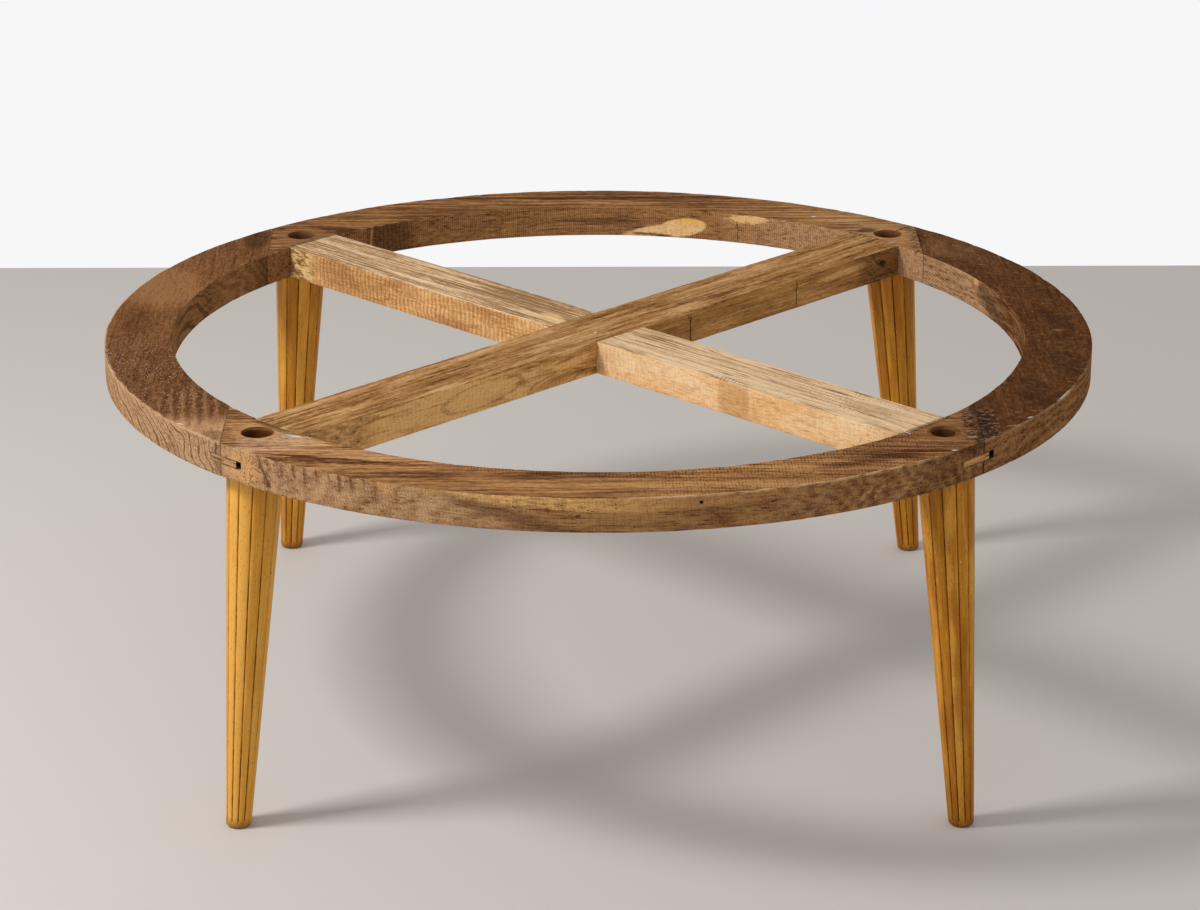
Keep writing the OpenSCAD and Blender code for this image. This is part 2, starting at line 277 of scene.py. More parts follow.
class Sheet:
    """Adds nodes to one tree, for a material or for Geometry Nodes."""

    def __init__(self, tree):
        self.tree = tree

    def add(self, kind, settings=None, inputs=None, output=0):
        """Makes a node, sets it up, fills its sockets and gives one of its outputs."""
        node = self.tree.nodes.new(kind)
        for key, value in (settings or {}).items():
            if key == "stops":
                self.set_stops(node.color_ramp, value)
            elif key == "choices":
                while len(node.index_switch_items) < value:
                    node.index_switch_items.new()
            else:
                setattr(node, key, value)
        for key, value in (inputs or {}).items():
            if isinstance(value, Wire):
                self.tree.links.new(value.socket, node.inputs[key])
            elif isinstance(value, list):
                for wire in value:
                    self.tree.links.new(wire.socket, node.inputs[key])
            else:
                node.inputs[key].default_value = value
        return Wire(self, node.outputs[output])

    def set_stops(self, ramp, stops):
        """Fills a colour ramp from (place, colour) pairs."""
        while len(ramp.elements) < len(stops):
            ramp.elements.new(0.5)
        for element, (place, shade) in zip(ramp.elements, stops):
            element.position = place
            element.color = (*shade, 1.0)

    def math(self, operation, first, second=0.0, third=0.0):
        """One Math node."""
        return self.add("ShaderNodeMath", {"operation": operation}, {0: first, 1: second, 2: third})

    def vector(self, x, y, z):
        """Three numbers as one vector."""
        return self.add("ShaderNodeCombineXYZ", {}, {0: x, 1: y, 2: z})

    def split(self, vector):
        """The three numbers of a vector."""
        node = self.add("ShaderNodeSeparateXYZ", {}, {0: vector}).socket.node
        return [Wire(self, socket) for socket in node.outputs]

    def vector_math(self, operation, first, second=(0.0, 0.0, 0.0), third=(0.0, 0.0, 0.0), output=0):
        """One Vector Math node."""
        inputs = {0: first, 1: second, 2: third}
        return self.add("ShaderNodeVectorMath", {"operation": operation}, inputs, output)

    def ease(self, value, low, high):
        """A smooth step from 0 at low to 1 at high. High may be below low."""
        inputs = {"Value": value, "From Min": low, "From Max": high}
        return self.add("ShaderNodeMapRange", {"interpolation_type": "SMOOTHSTEP"}, inputs)

    def scale(self, value, low, high, new_low=0.0, new_high=1.0):
        """A straight change of range that stops at both ends."""
        inputs = {0: value, 1: low, 2: high, 3: new_low, 4: new_high}
        return self.add("ShaderNodeMapRange", {}, inputs)

    def most(self, first, second):
        """The larger of two numbers."""
        return self.math("MAXIMUM", first, second)

    def least(self, first, second):
        """The smaller of two numbers."""
        return self.math("MINIMUM", first, second)

    def sine(self, value):
        """A wave from 0 to 1, one turn for each step of 1 in value."""
        return self.math("MULTIPLY_ADD", self.math("SINE", value * (2 * math.pi)), 0.5, 0.5)

    def length_of(self, x, y):
        """The length of a step of x and y."""
        return self.math("SQRT", x * x + y * y)


class Finish(Sheet):
    """The nodes of one material, which lays its colours and heights over each other."""

    def __init__(self, name):
        material = bpy.data.materials.new(name)
        material.use_nodes = True
        super().__init__(material.node_tree)
        self.material = material
        self.shader = material.node_tree.nodes["Principled BSDF"]
        self.shade = None
        self.relief = None

    def place(self):
        """Object coordinates in millimetres."""
        seen = self.add("ShaderNodeTexCoord", {}, {}, "Object")
        return self.vector_math("MULTIPLY", seen, (1000.0, 1000.0, 1000.0))

    def facing(self):
        """How far a face looks up: 1 on a top, 0 on a wall and -1 below."""
        return self.split(self.add("ShaderNodeTexCoord", {}, {}, "Normal"))[2]

    def attribute(self, name, output):
        """One of the mesh's own attributes."""
        return self.add("ShaderNodeAttribute", {"attribute_name": name}, {}, output)

    def noise(self, place, size, detail=2.0, rough=0.5, shift=0.0):
        """Noise from 0 to 1 whose grain has the given size along each axis, in the units of place."""
        sizes = size if isinstance(size, tuple) else (size, size, size)
        stretch = tuple(1.0 / one for one in sizes)
        spot = self.vector_math("MULTIPLY_ADD", place, stretch, (shift, shift * 1.7, shift * 0.6))
        inputs = {"Vector": spot, "Scale": 1.0, "Detail": detail, "Roughness": rough}
        return self.add("ShaderNodeTexNoise", {}, inputs)

    def grains(self, place, size, detail, rough, shift, low, high):
        """0 where noise is below low and 1 where it is above high, with a soft change between them."""
        return self.ease(self.noise(place, size, detail, rough, shift), low, high)

    def ramp(self, value, stops):
        """A colour ramp."""
        return self.add("ShaderNodeValToRGB", {"stops": stops}, {0: value})

    def lay(self, shade, amount, blend="MIX"):
        """Lays a colour over what is there."""
        above = shade if isinstance(shade, Wire) else (*shade, 1.0)
        settings = {"data_type": "RGBA", "blend_type": blend}
        self.shade = self.add("ShaderNodeMix", settings, {0: amount, 6: self.shade, 7: above}, 2)

    def lift(self, height):
        """Adds a height in millimetres."""
        self.relief = height if self.relief is None else self.relief + height

    def oval(self, a, b, at, size, turn, ragged, bite):
        """How far a place in the plane of a and b is from an oval's middle: 1 on the oval's line."""
        c = math.cos(math.radians(turn))
        s = math.sin(math.radians(turn))
        da = a - at[0]
        db = b - at[1]
        along = (da * c + db * s) / size[0]
        across = (db * c - da * s) / size[1]
        far = self.length_of(along, across)
        return far if ragged is None else far + (ragged - 0.5) * bite

    def patch(self, a, b, at, size, turn=0.0, soft=0.35, ragged=None, bite=0.0):
        """1 inside an oval in the plane of a and b, and 0 outside, with a soft or ragged edge."""
        return self.ease(self.oval(a, b, at, size, turn, ragged, bite), 1.0 + soft, 1.0 - soft)

    def outline(self, a, b, at, size, turn, thin, ragged, bite):
        """1 along an oval's line, and 0 beside it."""
        return self.ease(abs(self.oval(a, b, at, size, turn, ragged, bite) - 1.0), thin, thin * 0.3)

    def stroke(self, a, b, start, end, half, wobble, bend):
        """1 along a thin, wobbly line between two places in the plane of a and b, and 0 beside it."""
        span = math.hypot(end[0] - start[0], end[1] - start[1])
        c = (end[0] - start[0]) / span
        s = (end[1] - start[1]) / span
        da = a - start[0]
        db = b - start[1]
        along = da * c + db * s
        across = db * c - da * s + (wobble - 0.5) * bend
        taper = self.stripe(along, span * 0.08, span * 0.92, span * 0.08)
        return taper * self.ease(abs(across), half * 1.5, half * 0.4)

    def stripe(self, value, low, high, soft):
        """1 between two values, with soft ends."""
        return self.ease(value, low - soft, low + soft) * self.ease(value, high + soft, high - soft)

    def edge_curls(self, place, size, thin, shift):
        """Thin wandering lines, where a slow noise crosses its middle."""
        slow = self.noise(place, size, 3.0, 0.55, shift)
        return self.ease(abs(slow - 0.5), thin, thin * 0.25)

    def finish(self, roughness, **fixed):
        """Feeds the shader with the colours, the roughness and the heights."""
        self.tree.links.new(self.shade.socket, self.shader.inputs["Base Color"])
        if isinstance(roughness, Wire):
            self.tree.links.new(roughness.socket, self.shader.inputs["Roughness"])
        else:
            self.shader.inputs["Roughness"].default_value = roughness
        for name, value in fixed.items():
            self.shader.inputs[name.replace("_", " ")].default_value = value
        if self.relief is not None:
            inputs = {"Strength": 1.0, "Distance": MM, "Height": self.relief}
            bump = self.add("ShaderNodeBump", {}, inputs)
            self.tree.links.new(bump.socket, self.shader.inputs["Normal"])
        return self.material


class Timber(Finish):
    """The finish of sawn wood, whose grain runs along u, and whose rings stand around a pith line."""

    def __init__(self, name, axes, pith, gap, shift):
        super().__init__(name)
        self.spot = self.place()
        self.x, self.y, self.z = self.split(self.spot)
        self.u, self.v = axes(self)
        u, v, w = self.u, self.v, self.z
        self.grain = self.vector(u, v, w)
        bend = self.noise(self.grain, (240, 60, 60), 2, 0.5, shift)
        swirl = self.noise(self.grain, (80, 14, 14), 2, 0.5, shift + 3.1)
        rings = self.length_of(v - pith[0], w - pith[1])
        turn = rings / gap + bend * 5 + swirl * 1.2
        self.wave = self.sine(turn)
        self.late = self.ease(self.wave, 0.8, 0.99)
        streak = self.noise(self.grain, (95, 5.5, 3.4), 4, 0.65, shift + 7.7)
        self.streak = self.scale(streak, 0.3, 0.7)
        fibre = self.noise(self.grain, (24, 0.9, 0.9), 2, 0.6, shift + 11.3)
        self.fibre = self.scale(fibre, 0.28, 0.72)
        cloud = self.noise(self.grain, (95, 32, 32), 2, 0.5, shift + 17.9)
        self.cloud = self.scale(cloud, 0.32, 0.68)
        self.mottle = self.noise(self.spot, 7, 3, 0.6, shift + 23)
        self.grit = self.noise(self.spot, 1.5, 2, 0.6, shift + 29)
        self.crisp = self.noise(self.grain, (8, 3.6, 1.5), 4, 0.75, shift + 37)
        pores = self.noise(self.grain, (7.5, 0.62, 0.62), 1, 0.5, shift + 31)
        self.pores = self.ease(pores, 0.58, 0.68)
        line = self.noise(self.grain, (60, 3.4, 1.7), 3, 0.62, shift + 43)
        self.lines = self.ease(line, 0.42, 0.34) * 0.15 - self.ease(line, 0.57, 0.65) * 0.3
        self.tone = self.streak * 0.34 + self.wave * 0.18 + self.cloud * 0.2 + self.fibre * 0.12
        self.tone = self.tone + self.lines + self.mottle * 0.14 + self.crisp * 0.66 - 0.3
        up = self.facing()
        self.top = self.ease(up, 0.35, 0.8)
        self.wall = self.ease(abs(up), 0.8, 0.35)

    def lighten(self, amount):
        """Moves the grain towards its light end before it is coloured."""
        self.tone = self.tone + amount

    def three(self, dark, body, light):
        """Colours the grain from dark through its body to light."""
        return self.ramp(self.tone, [(0.2, dark), (0.49, body), (0.8, light)])

    def pore_marks(self, amount):
        """Dark pores and the furrows of the fibre, which every sawn face has."""
        self.lay((0.34, 0.26, 0.21), self.pores * amount, "MULTIPLY")
        self.lift(self.fibre * 0.14 + self.streak * 0.06 - self.pores * 0.1 + self.grit * 0.05)

    def sawn(self, pores, low, high):
        """Ends a sawn finish with its pores, and a dull roughness that follows the fibre."""
        self.pore_marks(pores)
        return self.finish(self.scale(self.fibre, 0, 1, low, high), Specular_IOR_Level=0)

    def calm(self, wave, streak, cloud, lines):
        """What evens out the grain, from how much goes of its rings, streaks, clouds and lines."""
        even = (0.5 - self.wave) * wave + (0.5 - self.streak) * streak + (0.5 - self.cloud) * cloud
        return even - self.lines * lines


class Board(Timber):
    """The finish of one board of the rim."""

    def __init__(self, which, rim, pith, gap, shift):
        side = which in ("left", "right")
        super().__init__(which + " board", self.along_y if side else self.along_x, pith, gap, shift)
        self.rim = rim
        base = math.radians({"front": -90, "right": 0, "back": 90, "left": 180}[which])
        c = math.cos(base)
        s = math.sin(base)
        self.radius = self.length_of(self.x, self.y)
        outward = self.x * c + self.y * s
        sideways = self.y * c - self.x * s
        # how far a place lies around the rim's outer face, counterclockwise from the board's middle
        self.run = self.math("ARCTAN2", sideways, outward) * (RIM_RADIUS / MM)
        self.outer = self.wall * self.ease(self.radius, 496, 498)
        self.inner = self.wall * self.ease(self.radius, 437, 435)
        self.around = self.vector(self.run, self.radius, self.z)
        self.outer_arris = self.ease(self.z, 385.6, 387.2) * self.ease(self.radius, 497.6, 499)
        knot = self.noise(self.spot, 5.5, 4, 0.68, 12)
        self.knotty = self.ramp(knot, [(0.42, rim.stain), (0.5, rim.tan_dark), (0.6, rim.tan)])

    @staticmethod
    def along_x(m):
        """Grain along X."""
        return m.x, m.y

    @staticmethod
    def along_y(m):
        """Grain along Y."""
        return m.y, m.x

    def saw_lines(self, gap, where, amount, slant=0):
        """Marks of a saw that ran up the curved faces: fine, uneven upright lines."""
        drift = self.noise(self.around, (30, 30, 9), 2, 0.5, 41)
        line = self.sine((self.run + self.z * slant) / gap + drift * 1.6)
        uneven = self.noise(self.around, (3, 3, 14), 2, 0.6, 43)
        mark = self.ease(line * 0.75 + uneven * 0.5, 0.62, 1) * where
        self.lay((0.55, 0.46, 0.4), mark * amount, "MULTIPLY")
        self.lift(mark * -0.12)

    def bores(self, corners):
        """Brown bore walls for the legs, painted shade down them and on each mouth's edge, and a smooth worn
        ring around each mouth.
        """
        for corner, ring in corners:
            a = math.radians(corner)
            reach = self.rim.bore_at / MM
            # the front right bore lies beside its corner's line
            aside = 2.8 if corner == FRONT_RIGHT else 0
            far_x = self.x - (reach * math.cos(a) - aside)
            far = self.length_of(far_x, self.y - (reach * math.sin(a) - aside))
            inside = self.ease(far, 21, 17.5) * self.wall
            self.lay(self.rim.brown, inside * 0.75)
            # the height at which the painted shade on a bore's wall is darkest: the light falls deeper into
            # the back ones
            deepest_shade = 378 if corner > 0 else 384
            self.lay((0.4, 0.3, 0.24), inside * self.ease(self.z, 389, deepest_shade), "MULTIPLY")
            collar = self.ease(far, 34, 20) * self.top
            self.lay(ring, collar * 0.5)
            # painted shade on the rounded edge where the top face turns down into the bore
            arris = self.ease(far, 16.6, 15.2) * self.top
            self.lay((0.55, 0.45, 0.38), arris * 0.7, "MULTIPLY")

    def joints(self):
        """The dark lines of the butt joints and the ragged seams in front of the stretchers' ends."""
        near = self.ease(abs(abs(self.x) - JOINT_X / MM), 1.5, 0.5)
        plain = self.outer * (0.2 + self.ease(self.x, -10, 10) * 0.45) + self.inner * 0.1
        self.lay(self.rim.stain, near * (plain + self.top * 0.1))
        end = self.ease(self.radius + (self.crisp - 0.5) * 6, 437, 434)
        self.lay(self.rim.stain, end * self.ease(abs(abs(self.x) - abs(self.y)), 52, 47) * self.top * 0.7)

    def worn_edge(self, where, amount, shade):
        """Pale bare wood along the outer top edge, with a painted highlight along it."""
        broken = self.noise(self.around, (16, 3, 3), 3, 0.6, 47)
        self.lay(shade, self.outer_arris * self.ease(broken, 0.38, 0.56) * where * amount)

    def specks(self, where, share, size, shift):
        """Scattered pale specks of dust."""
        dot = self.noise(self.spot, size, 1, 0.5, shift)
        self.lay(self.rim.dust, self.ease(dot, share, share + 0.05) * where * 0.75)


def front_board(rim):
    """The front board: tan and brown streaks, saw ticks on its inner half, and a golden outer streak."""
    m = Board("front", rim, (-610, 300), 9.5, 1.3)
    x, y, z, run = m.x, m.y, m.z, m.run
    left = m.ease(run, -120, -300)
    right = m.ease(run, 120, 320)
    m.lighten(m.outer * (0.14 - right * 0.13) + m.top * (left * 0.24 - right * 0.02 - 0.02))
    m.lighten(m.top * (m.stripe(x, 30, 205, 50) * 0.15 - m.ease(x, -265, -300) * 0.12))
    # the dark streaks that run from the left hole into the middle
    m.lighten(m.patch(x, y, (-238, -404), (62, 5), -8, 0.6, m.crisp, 1.8) * m.top * -0.34)
    m.lighten(m.patch(x, y, (-262, -392), (70, 2.2), -12, 0.6, m.crisp, 1.2) * m.top * -0.4)
    dark = m.noise(m.vector(x - y * 0.3, y, 0), (34, 5, 5), 4, 0.66, 44)
    m.lighten(m.ease(dark, 0.5, 0.62) * m.top * m.ease(x, -170, -240) * -0.26)
    m.lighten(m.patch(x, y, (-120, -440), (150, 6), 0, 0.6, m.streak, 1.2) * m.top * -0.22)
    m.lighten(m.patch(x, y, (60, -466), (210, 7), 0, 0.6, m.streak, 1.2) * m.top * 0.15 - m.top * 0.03)
    m.lighten(m.patch(x, y, (250, -402), (60, 9), 24, 0.6, m.streak, 1) * m.top * -0.2)
    m.shade = m.three(rim.brown_dark, rim.brown, rim.brown_light)
    pale = m.three(rim.tan_dark, rim.tan, rim.tan_light)
    m.lay(pale, m.outer * m.ease(run, -20, -170) * 0.9)
    m.lay(pale, m.top * m.patch(x, y, (-303, -352), (52, 24), 35, 0.6, m.mottle, 0.6) * 0.9)
    m.lay(pale, m.top * m.patch(x, y, (-226, -384), (46, 10), -10, 0.7, m.mottle, 0.8) * 0.45)
    # the golden streak under the top edge, and the brown swoosh below it
    low = 385 - m.scale(run, -190, 10, 0, 11) - (m.mottle - 0.5) * 9
    band = m.ease(z, low - 1.5, low + 2.5) * m.stripe(run, -165, 55, 55) * m.outer
    flecks = m.grains(m.around, (11, 3, 3.2), 3, 0.65, 3, 0.36, 0.6)
    m.lay(rim.gold, band * (0.42 + flecks * 0.58))
    bright = band * flecks * m.stripe(run, -115, -15, 30)
    m.lay((0.9, 0.54, 0.215), bright * m.ease(m.crisp, 0.44, 0.6) * 0.75)
    m.lay(rim.gold, m.patch(run, z, (-205, 383), (11, 3.6), -20, 0.6, m.mottle, 0.8) * m.outer * 0.7)
    dots = m.grains(m.around, (4.2, 4, 2.2), 1, 0.5, 5, 0.7, 0.76)
    m.lay(rim.brown_dark, dots * m.stripe(run, -110, 20, 25) * m.stripe(z, 371, 386, 3) * m.outer)
    swoosh = m.patch(run, z, (-86, 369), (66, 5.5), -14, 0.6, m.mottle, 0.9) * m.outer
    m.lay(rim.brown_dark, swoosh * 0.5)
    m.lay(rim.gold, m.patch(run, z, (80, 380), (70, 4), 2, 0.7, m.mottle, 1) * m.outer * 0.35)
    # dark slanting dashes under the top edge at the left
    drift = m.noise(m.around, (40, 40, 90), 2, 0.6, 10)
    slanted = m.sine((run + (z - 388) * 0.08) / 12.8 + (m.mottle - 0.5) * 0.35 + drift * 1.6)
    hang = m.ease(z, 352 + m.noise(m.around, (9, 9, 200), 1, 0.5, 9) * 26, 386)
    dash = m.ease(slanted + (m.crisp - 0.5) * 0.7, 0.6, 1.1) * hang * m.stripe(run, -310, -215, 20)
    m.lay(rim.brown_dark, dash * m.outer * m.ease(drift, 0.3, 0.6) * 0.85)
    hatch = m.ease(m.sine((run + z * 0.5) / 3.1 + m.mottle * 2), 0.4, 1) * m.ease(run, -150, -210)
    m.lay((0.62, 0.52, 0.44), hatch * m.outer * m.ease(m.crisp, 0.38, 0.56) * 0.62, "MULTIPLY")
    # the orange patch and the dark curls beside the left joint
    m.lay(rim.gold, m.patch(run, z, (-366, 371), (22, 17), 0, 0.35, m.mottle, 0.5) * m.outer * 0.55)
    curls = m.edge_curls(m.around, (10, 10, 8), 0.03, 2)
    m.lay(rim.stain, curls * m.stripe(run, -372, -300, 14) * m.outer * 0.6)
    m.lay(rim.brown_dark, m.stroke(run, z, (-346, 388), (-330, 358), 2.2, m.mottle, 7) * m.outer * 0.7)
    # soft flames and a bore hole of a beetle at the right
    flame = m.noise(m.vector(run - z * 0.9, 0, z), (12, 9, 50), 3, 0.6, 6)
    flame = m.ease(flame, 0.48, 0.62) * m.stripe(run, 150, 320, 40) * m.outer
    m.lay(rim.tan_light, flame * (0.1 + m.ease(m.crisp, 0.42, 0.6) * 0.3))
    for start, low in ((243, 363), (257, 363), (288, 359)):
        bright = m.stroke(run, z, (start, low), (start + 14, low + 13), 2.2, m.mottle, 6)
        m.lay(rim.gold, bright * m.outer * m.ease(m.crisp, 0.34, 0.52) * 0.55)
    shade = m.noise(m.around, (22, 20, 9), 3, 0.6, 8)
    m.lay(rim.brown_dark, m.ease(shade, 0.5, 0.66) * m.outer * right * 0.4)
    m.lay(rim.stain, m.patch(run, z, (87, 381.5), (1.9, 1.7), 0, 0.2))
    m.lay(rim.stain, m.patch(run, z, (-24, 371), (2.6, 1.5), 10, 0.3, m.mottle, 0.7) * 0.7)
    m.lay(rim.stain, m.patch(run, z, (378, 386), (30, 7), -12, 0.6, m.mottle, 1.3) * m.outer * 0.5)
    # saw ticks across the grain on the top, strongest along the inner edge and at the right
    woven = m.stripe(x, 30, 312, 40) * 0.75
    along_edge = m.ease(m.radius, 452, 436) * m.stripe(x, -140, 300, 40)
    ticked = m.least(woven + along_edge, 1) * m.top
    drift = m.noise(m.grain, (26, 9, 9), 2, 0.5, 15)
    tick = m.sine(x / 3.15 + drift * 1.2) * m.scale(m.noise(m.grain, (1.6, 5, 5), 1, 0.5, 16), 0.3, 0.7)
    tick = m.ease(tick, 0.3, 0.66) * ticked
    m.lay((0.36, 0.28, 0.23), tick * 0.78, "MULTIPLY")
    m.lift(tick * -0.16)
    m.saw_lines(2.7, m.inner, 0.55)
    m.saw_lines(3.4, m.outer * m.ease(m.mottle, 0.35, 0.6), 0.28, 0.12)
    m.bores(((FRONT_LEFT, rim.brown_light), (FRONT_RIGHT, rim.brown)))
    # the dark seam behind the left stretcher's end, the torn chip beside it, and the strip at the right
    seam = m.stripe(m.radius, 431, 441, 3) * m.top
    m.lay(rim.stain, seam * m.patch(x, y, (-306, -308), (30, 30), 0, 0.4, m.mottle, 1) * 0.6)
    worn = m.patch(x, y, (-302, -338), (46, 22), 20, 0.6, m.crisp, 2.2) * m.top
    m.lay((0.42, 0.29, 0.2), worn * 0.24)
    m.lay(rim.brown_dark, worn * m.ease(m.crisp, 0.48, 0.36) * 0.6)
    m.lay(rim.brown_dark, m.top * m.ease(x, -325, -350) * m.ease(m.crisp, 0.55, 0.42) * 0.4)
    m.lay(rim.dust, m.patch(x, y, (-288, -333), (8, 2.4), -28, 0.4, m.crisp, 1.6) * m.top * 0.65)
    m.lay(rim.tan_light, m.patch(x, y, (-262, -357), (10, 2.6), -10, 0.4, m.grit, 1.2) * m.top * 0.7)
    knotty = m.top * m.ease(x + (m.crisp - 0.5) * 12, 338, 342) * m.ease(y, -362, -350)
    m.lay(rim.brown_dark, knotty * 0.5)
    m.lay(m.knotty, knotty * 0.75)
    m.lay(rim.stain, knotty * m.ease(x + (m.mottle - 0.5) * 22, 342, 354) * 0.6)
    # a small white dot on the top near the front right joint
    m.lay(rim.dust, m.patch(x, y, (325, -377), (2.6, 1.4), 0, 0.3) * m.top)
    m.joints()
    # the pale outer top edge: worn wood with a painted highlight
    m.worn_edge(m.stripe(run, 10, 330, 40), 0.95, rim.tan_light)
    return m.sawn(0.55, 0.58, 0.84)


def back_board(rim):
    """The back board: long streaks on its top, fine saw lines and a pale teardrop on its inner face."""
    m = Board("back", rim, (640, 310), 10, 5.9)
    x, y, z = m.x, m.y, m.z
    right = m.ease(x, 120, 290)
    m.lighten(m.top * (right * 0.2 - 0.08))
    m.lighten(m.inner * (m.ease(x, 40, 190) * 0.1 + (0.5 - m.wave) * 0.16 + (0.5 - m.cloud) * 0.12 + 0.07))
    m.lighten(m.patch(x, y, (40, 468), (190, 5), 0, 0.6, m.streak, 1.2) * m.top * -0.25)
    m.lighten(m.patch(x, y, (-40, 448), (150, 4), 0, 0.6, m.streak, 1.2) * m.top * 0.16)
    m.lighten(m.patch(x, y, (-285, 345), (30, 9), -20, 0.5, m.mottle, 0.8) * m.top * -0.34)
    m.shade = m.three(rim.brown_dark, rim.brown, rim.brown_light)
    pale = m.three(rim.tan_dark, rim.tan, rim.tan_light)
    m.lay(pale, m.outer * 0.45)
    m.lay(pale, m.top * m.patch(x, y, (300, 360), (52, 18), -35, 0.8, m.crisp, 1.6) * 0.45)
    m.lay(pale, m.inner * m.ease(x, 120, 240) * 0.75)
    m.saw_lines(2.75, m.inner, 0.7)
    m.saw_lines(3.3, m.outer, 0.3, -0.1)
    # a darker zone on the inner face beside the left stretcher, with one light line
    zone = m.stripe(x, -252, -204, 9) * m.inner
    m.lay(rim.brown_dark, zone * 0.62)
    marks = m.sine(x / 4.4 + m.mottle * 1.2)
    m.lay(rim.stain, zone * m.ease(marks, 0.6, 0.95) * 0.4)
    m.lay(rim.gold, m.stroke(x, z, (-249, 360), (-247, 388), 1, m.mottle, 2) * m.inner * 0.5)
    m.lay(rim.stain, m.patch(x, z, (0, 372), (36, 4), 0, 0.7, m.streak, 1.4) * m.inner * 0.35)
    # the pale teardrop, with an orange top and a dark line under its tail
    blob = m.patch(x, z, (99, 367), (27, 10.2), 10, 0.1, m.mottle, 0.22)
    tail = m.patch(x, z, (70, 362), (38, 5.8), 12, 0.25, m.crisp, 0.6)
    drop = m.most(blob, tail) * m.inner
    m.lay((0.86, 0.51, 0.22), drop * 0.95)
    m.lay((0.9, 0.63, 0.35), drop * m.grains(m.grain, (18, 3, 3), 2, 0.5, 2, 0.4, 0.62) * 0.6)
    m.lay((0.85, 0.46, 0.06), drop * m.patch(x, z, (110, 376), (22, 5), 0, 0.6) * 0.6)
    m.lay(rim.brown_dark, m.stroke(x, z, (40, 358.5), (92, 356.5), 1.4, m.mottle, 3) * m.inner * 0.8)
    # torn light streaks and a crack to the right of the teardrop
    torn = m.patch(x, z, (172, 383.5), (21, 4.4), 4, 0.3, m.crisp, 3.4)
    m.lay((0.9, 0.56, 0.24), torn * m.inner * 0.85)
    m.lay(rim.stain, m.stroke(x, z, (161, 381), (162, 355), 0.8, m.mottle, 5) * m.inner * 0.75)
    curls = m.edge_curls(m.around, (15, 15, 10), 0.018, 6)
    m.lay(rim.stain, curls * m.stripe(x, 196, 262, 14) * m.inner * 0.4)
    m.bores(((BACK_LEFT, rim.brown), (BACK_RIGHT, rim.brown_light)))
    # stains beside the right hole and the crack that leaves it
    m.lay(rim.stain, m.patch(x, y, (301, 336), (13, 7), 20, 0.4, m.mottle, 0.8) * m.top * 0.75)
    m.lay(rim.stain, m.stroke(x, y, (332, 333), (350, 352), 1.3, m.mottle, 4) * m.top * 0.8)
    m.lay(rim.stain, m.stroke(x, y, (268, 330), (300, 338), 1.6, m.mottle, 5) * m.top * 0.6)
    m.lay(m.knotty, m.ease(x + (m.mottle - 0.5) * 26, 338, 350) * m.top * 0.65)
    m.lay(rim.stain, m.patch(x, y, (-347, 347), (5, 4), 0, 0.4, m.mottle, 0.8) * m.top * 0.5)
    m.lay(rim.dust, m.patch(x, y, (246, 391), (2.6, 1.8), 0, 0.2) * m.top)
    m.joints()
    # the pale outer top edge: worn wood with a painted highlight
    m.worn_edge(1, 0.35, rim.tan)
    return m.sawn(0.5, 0.6, 0.85)


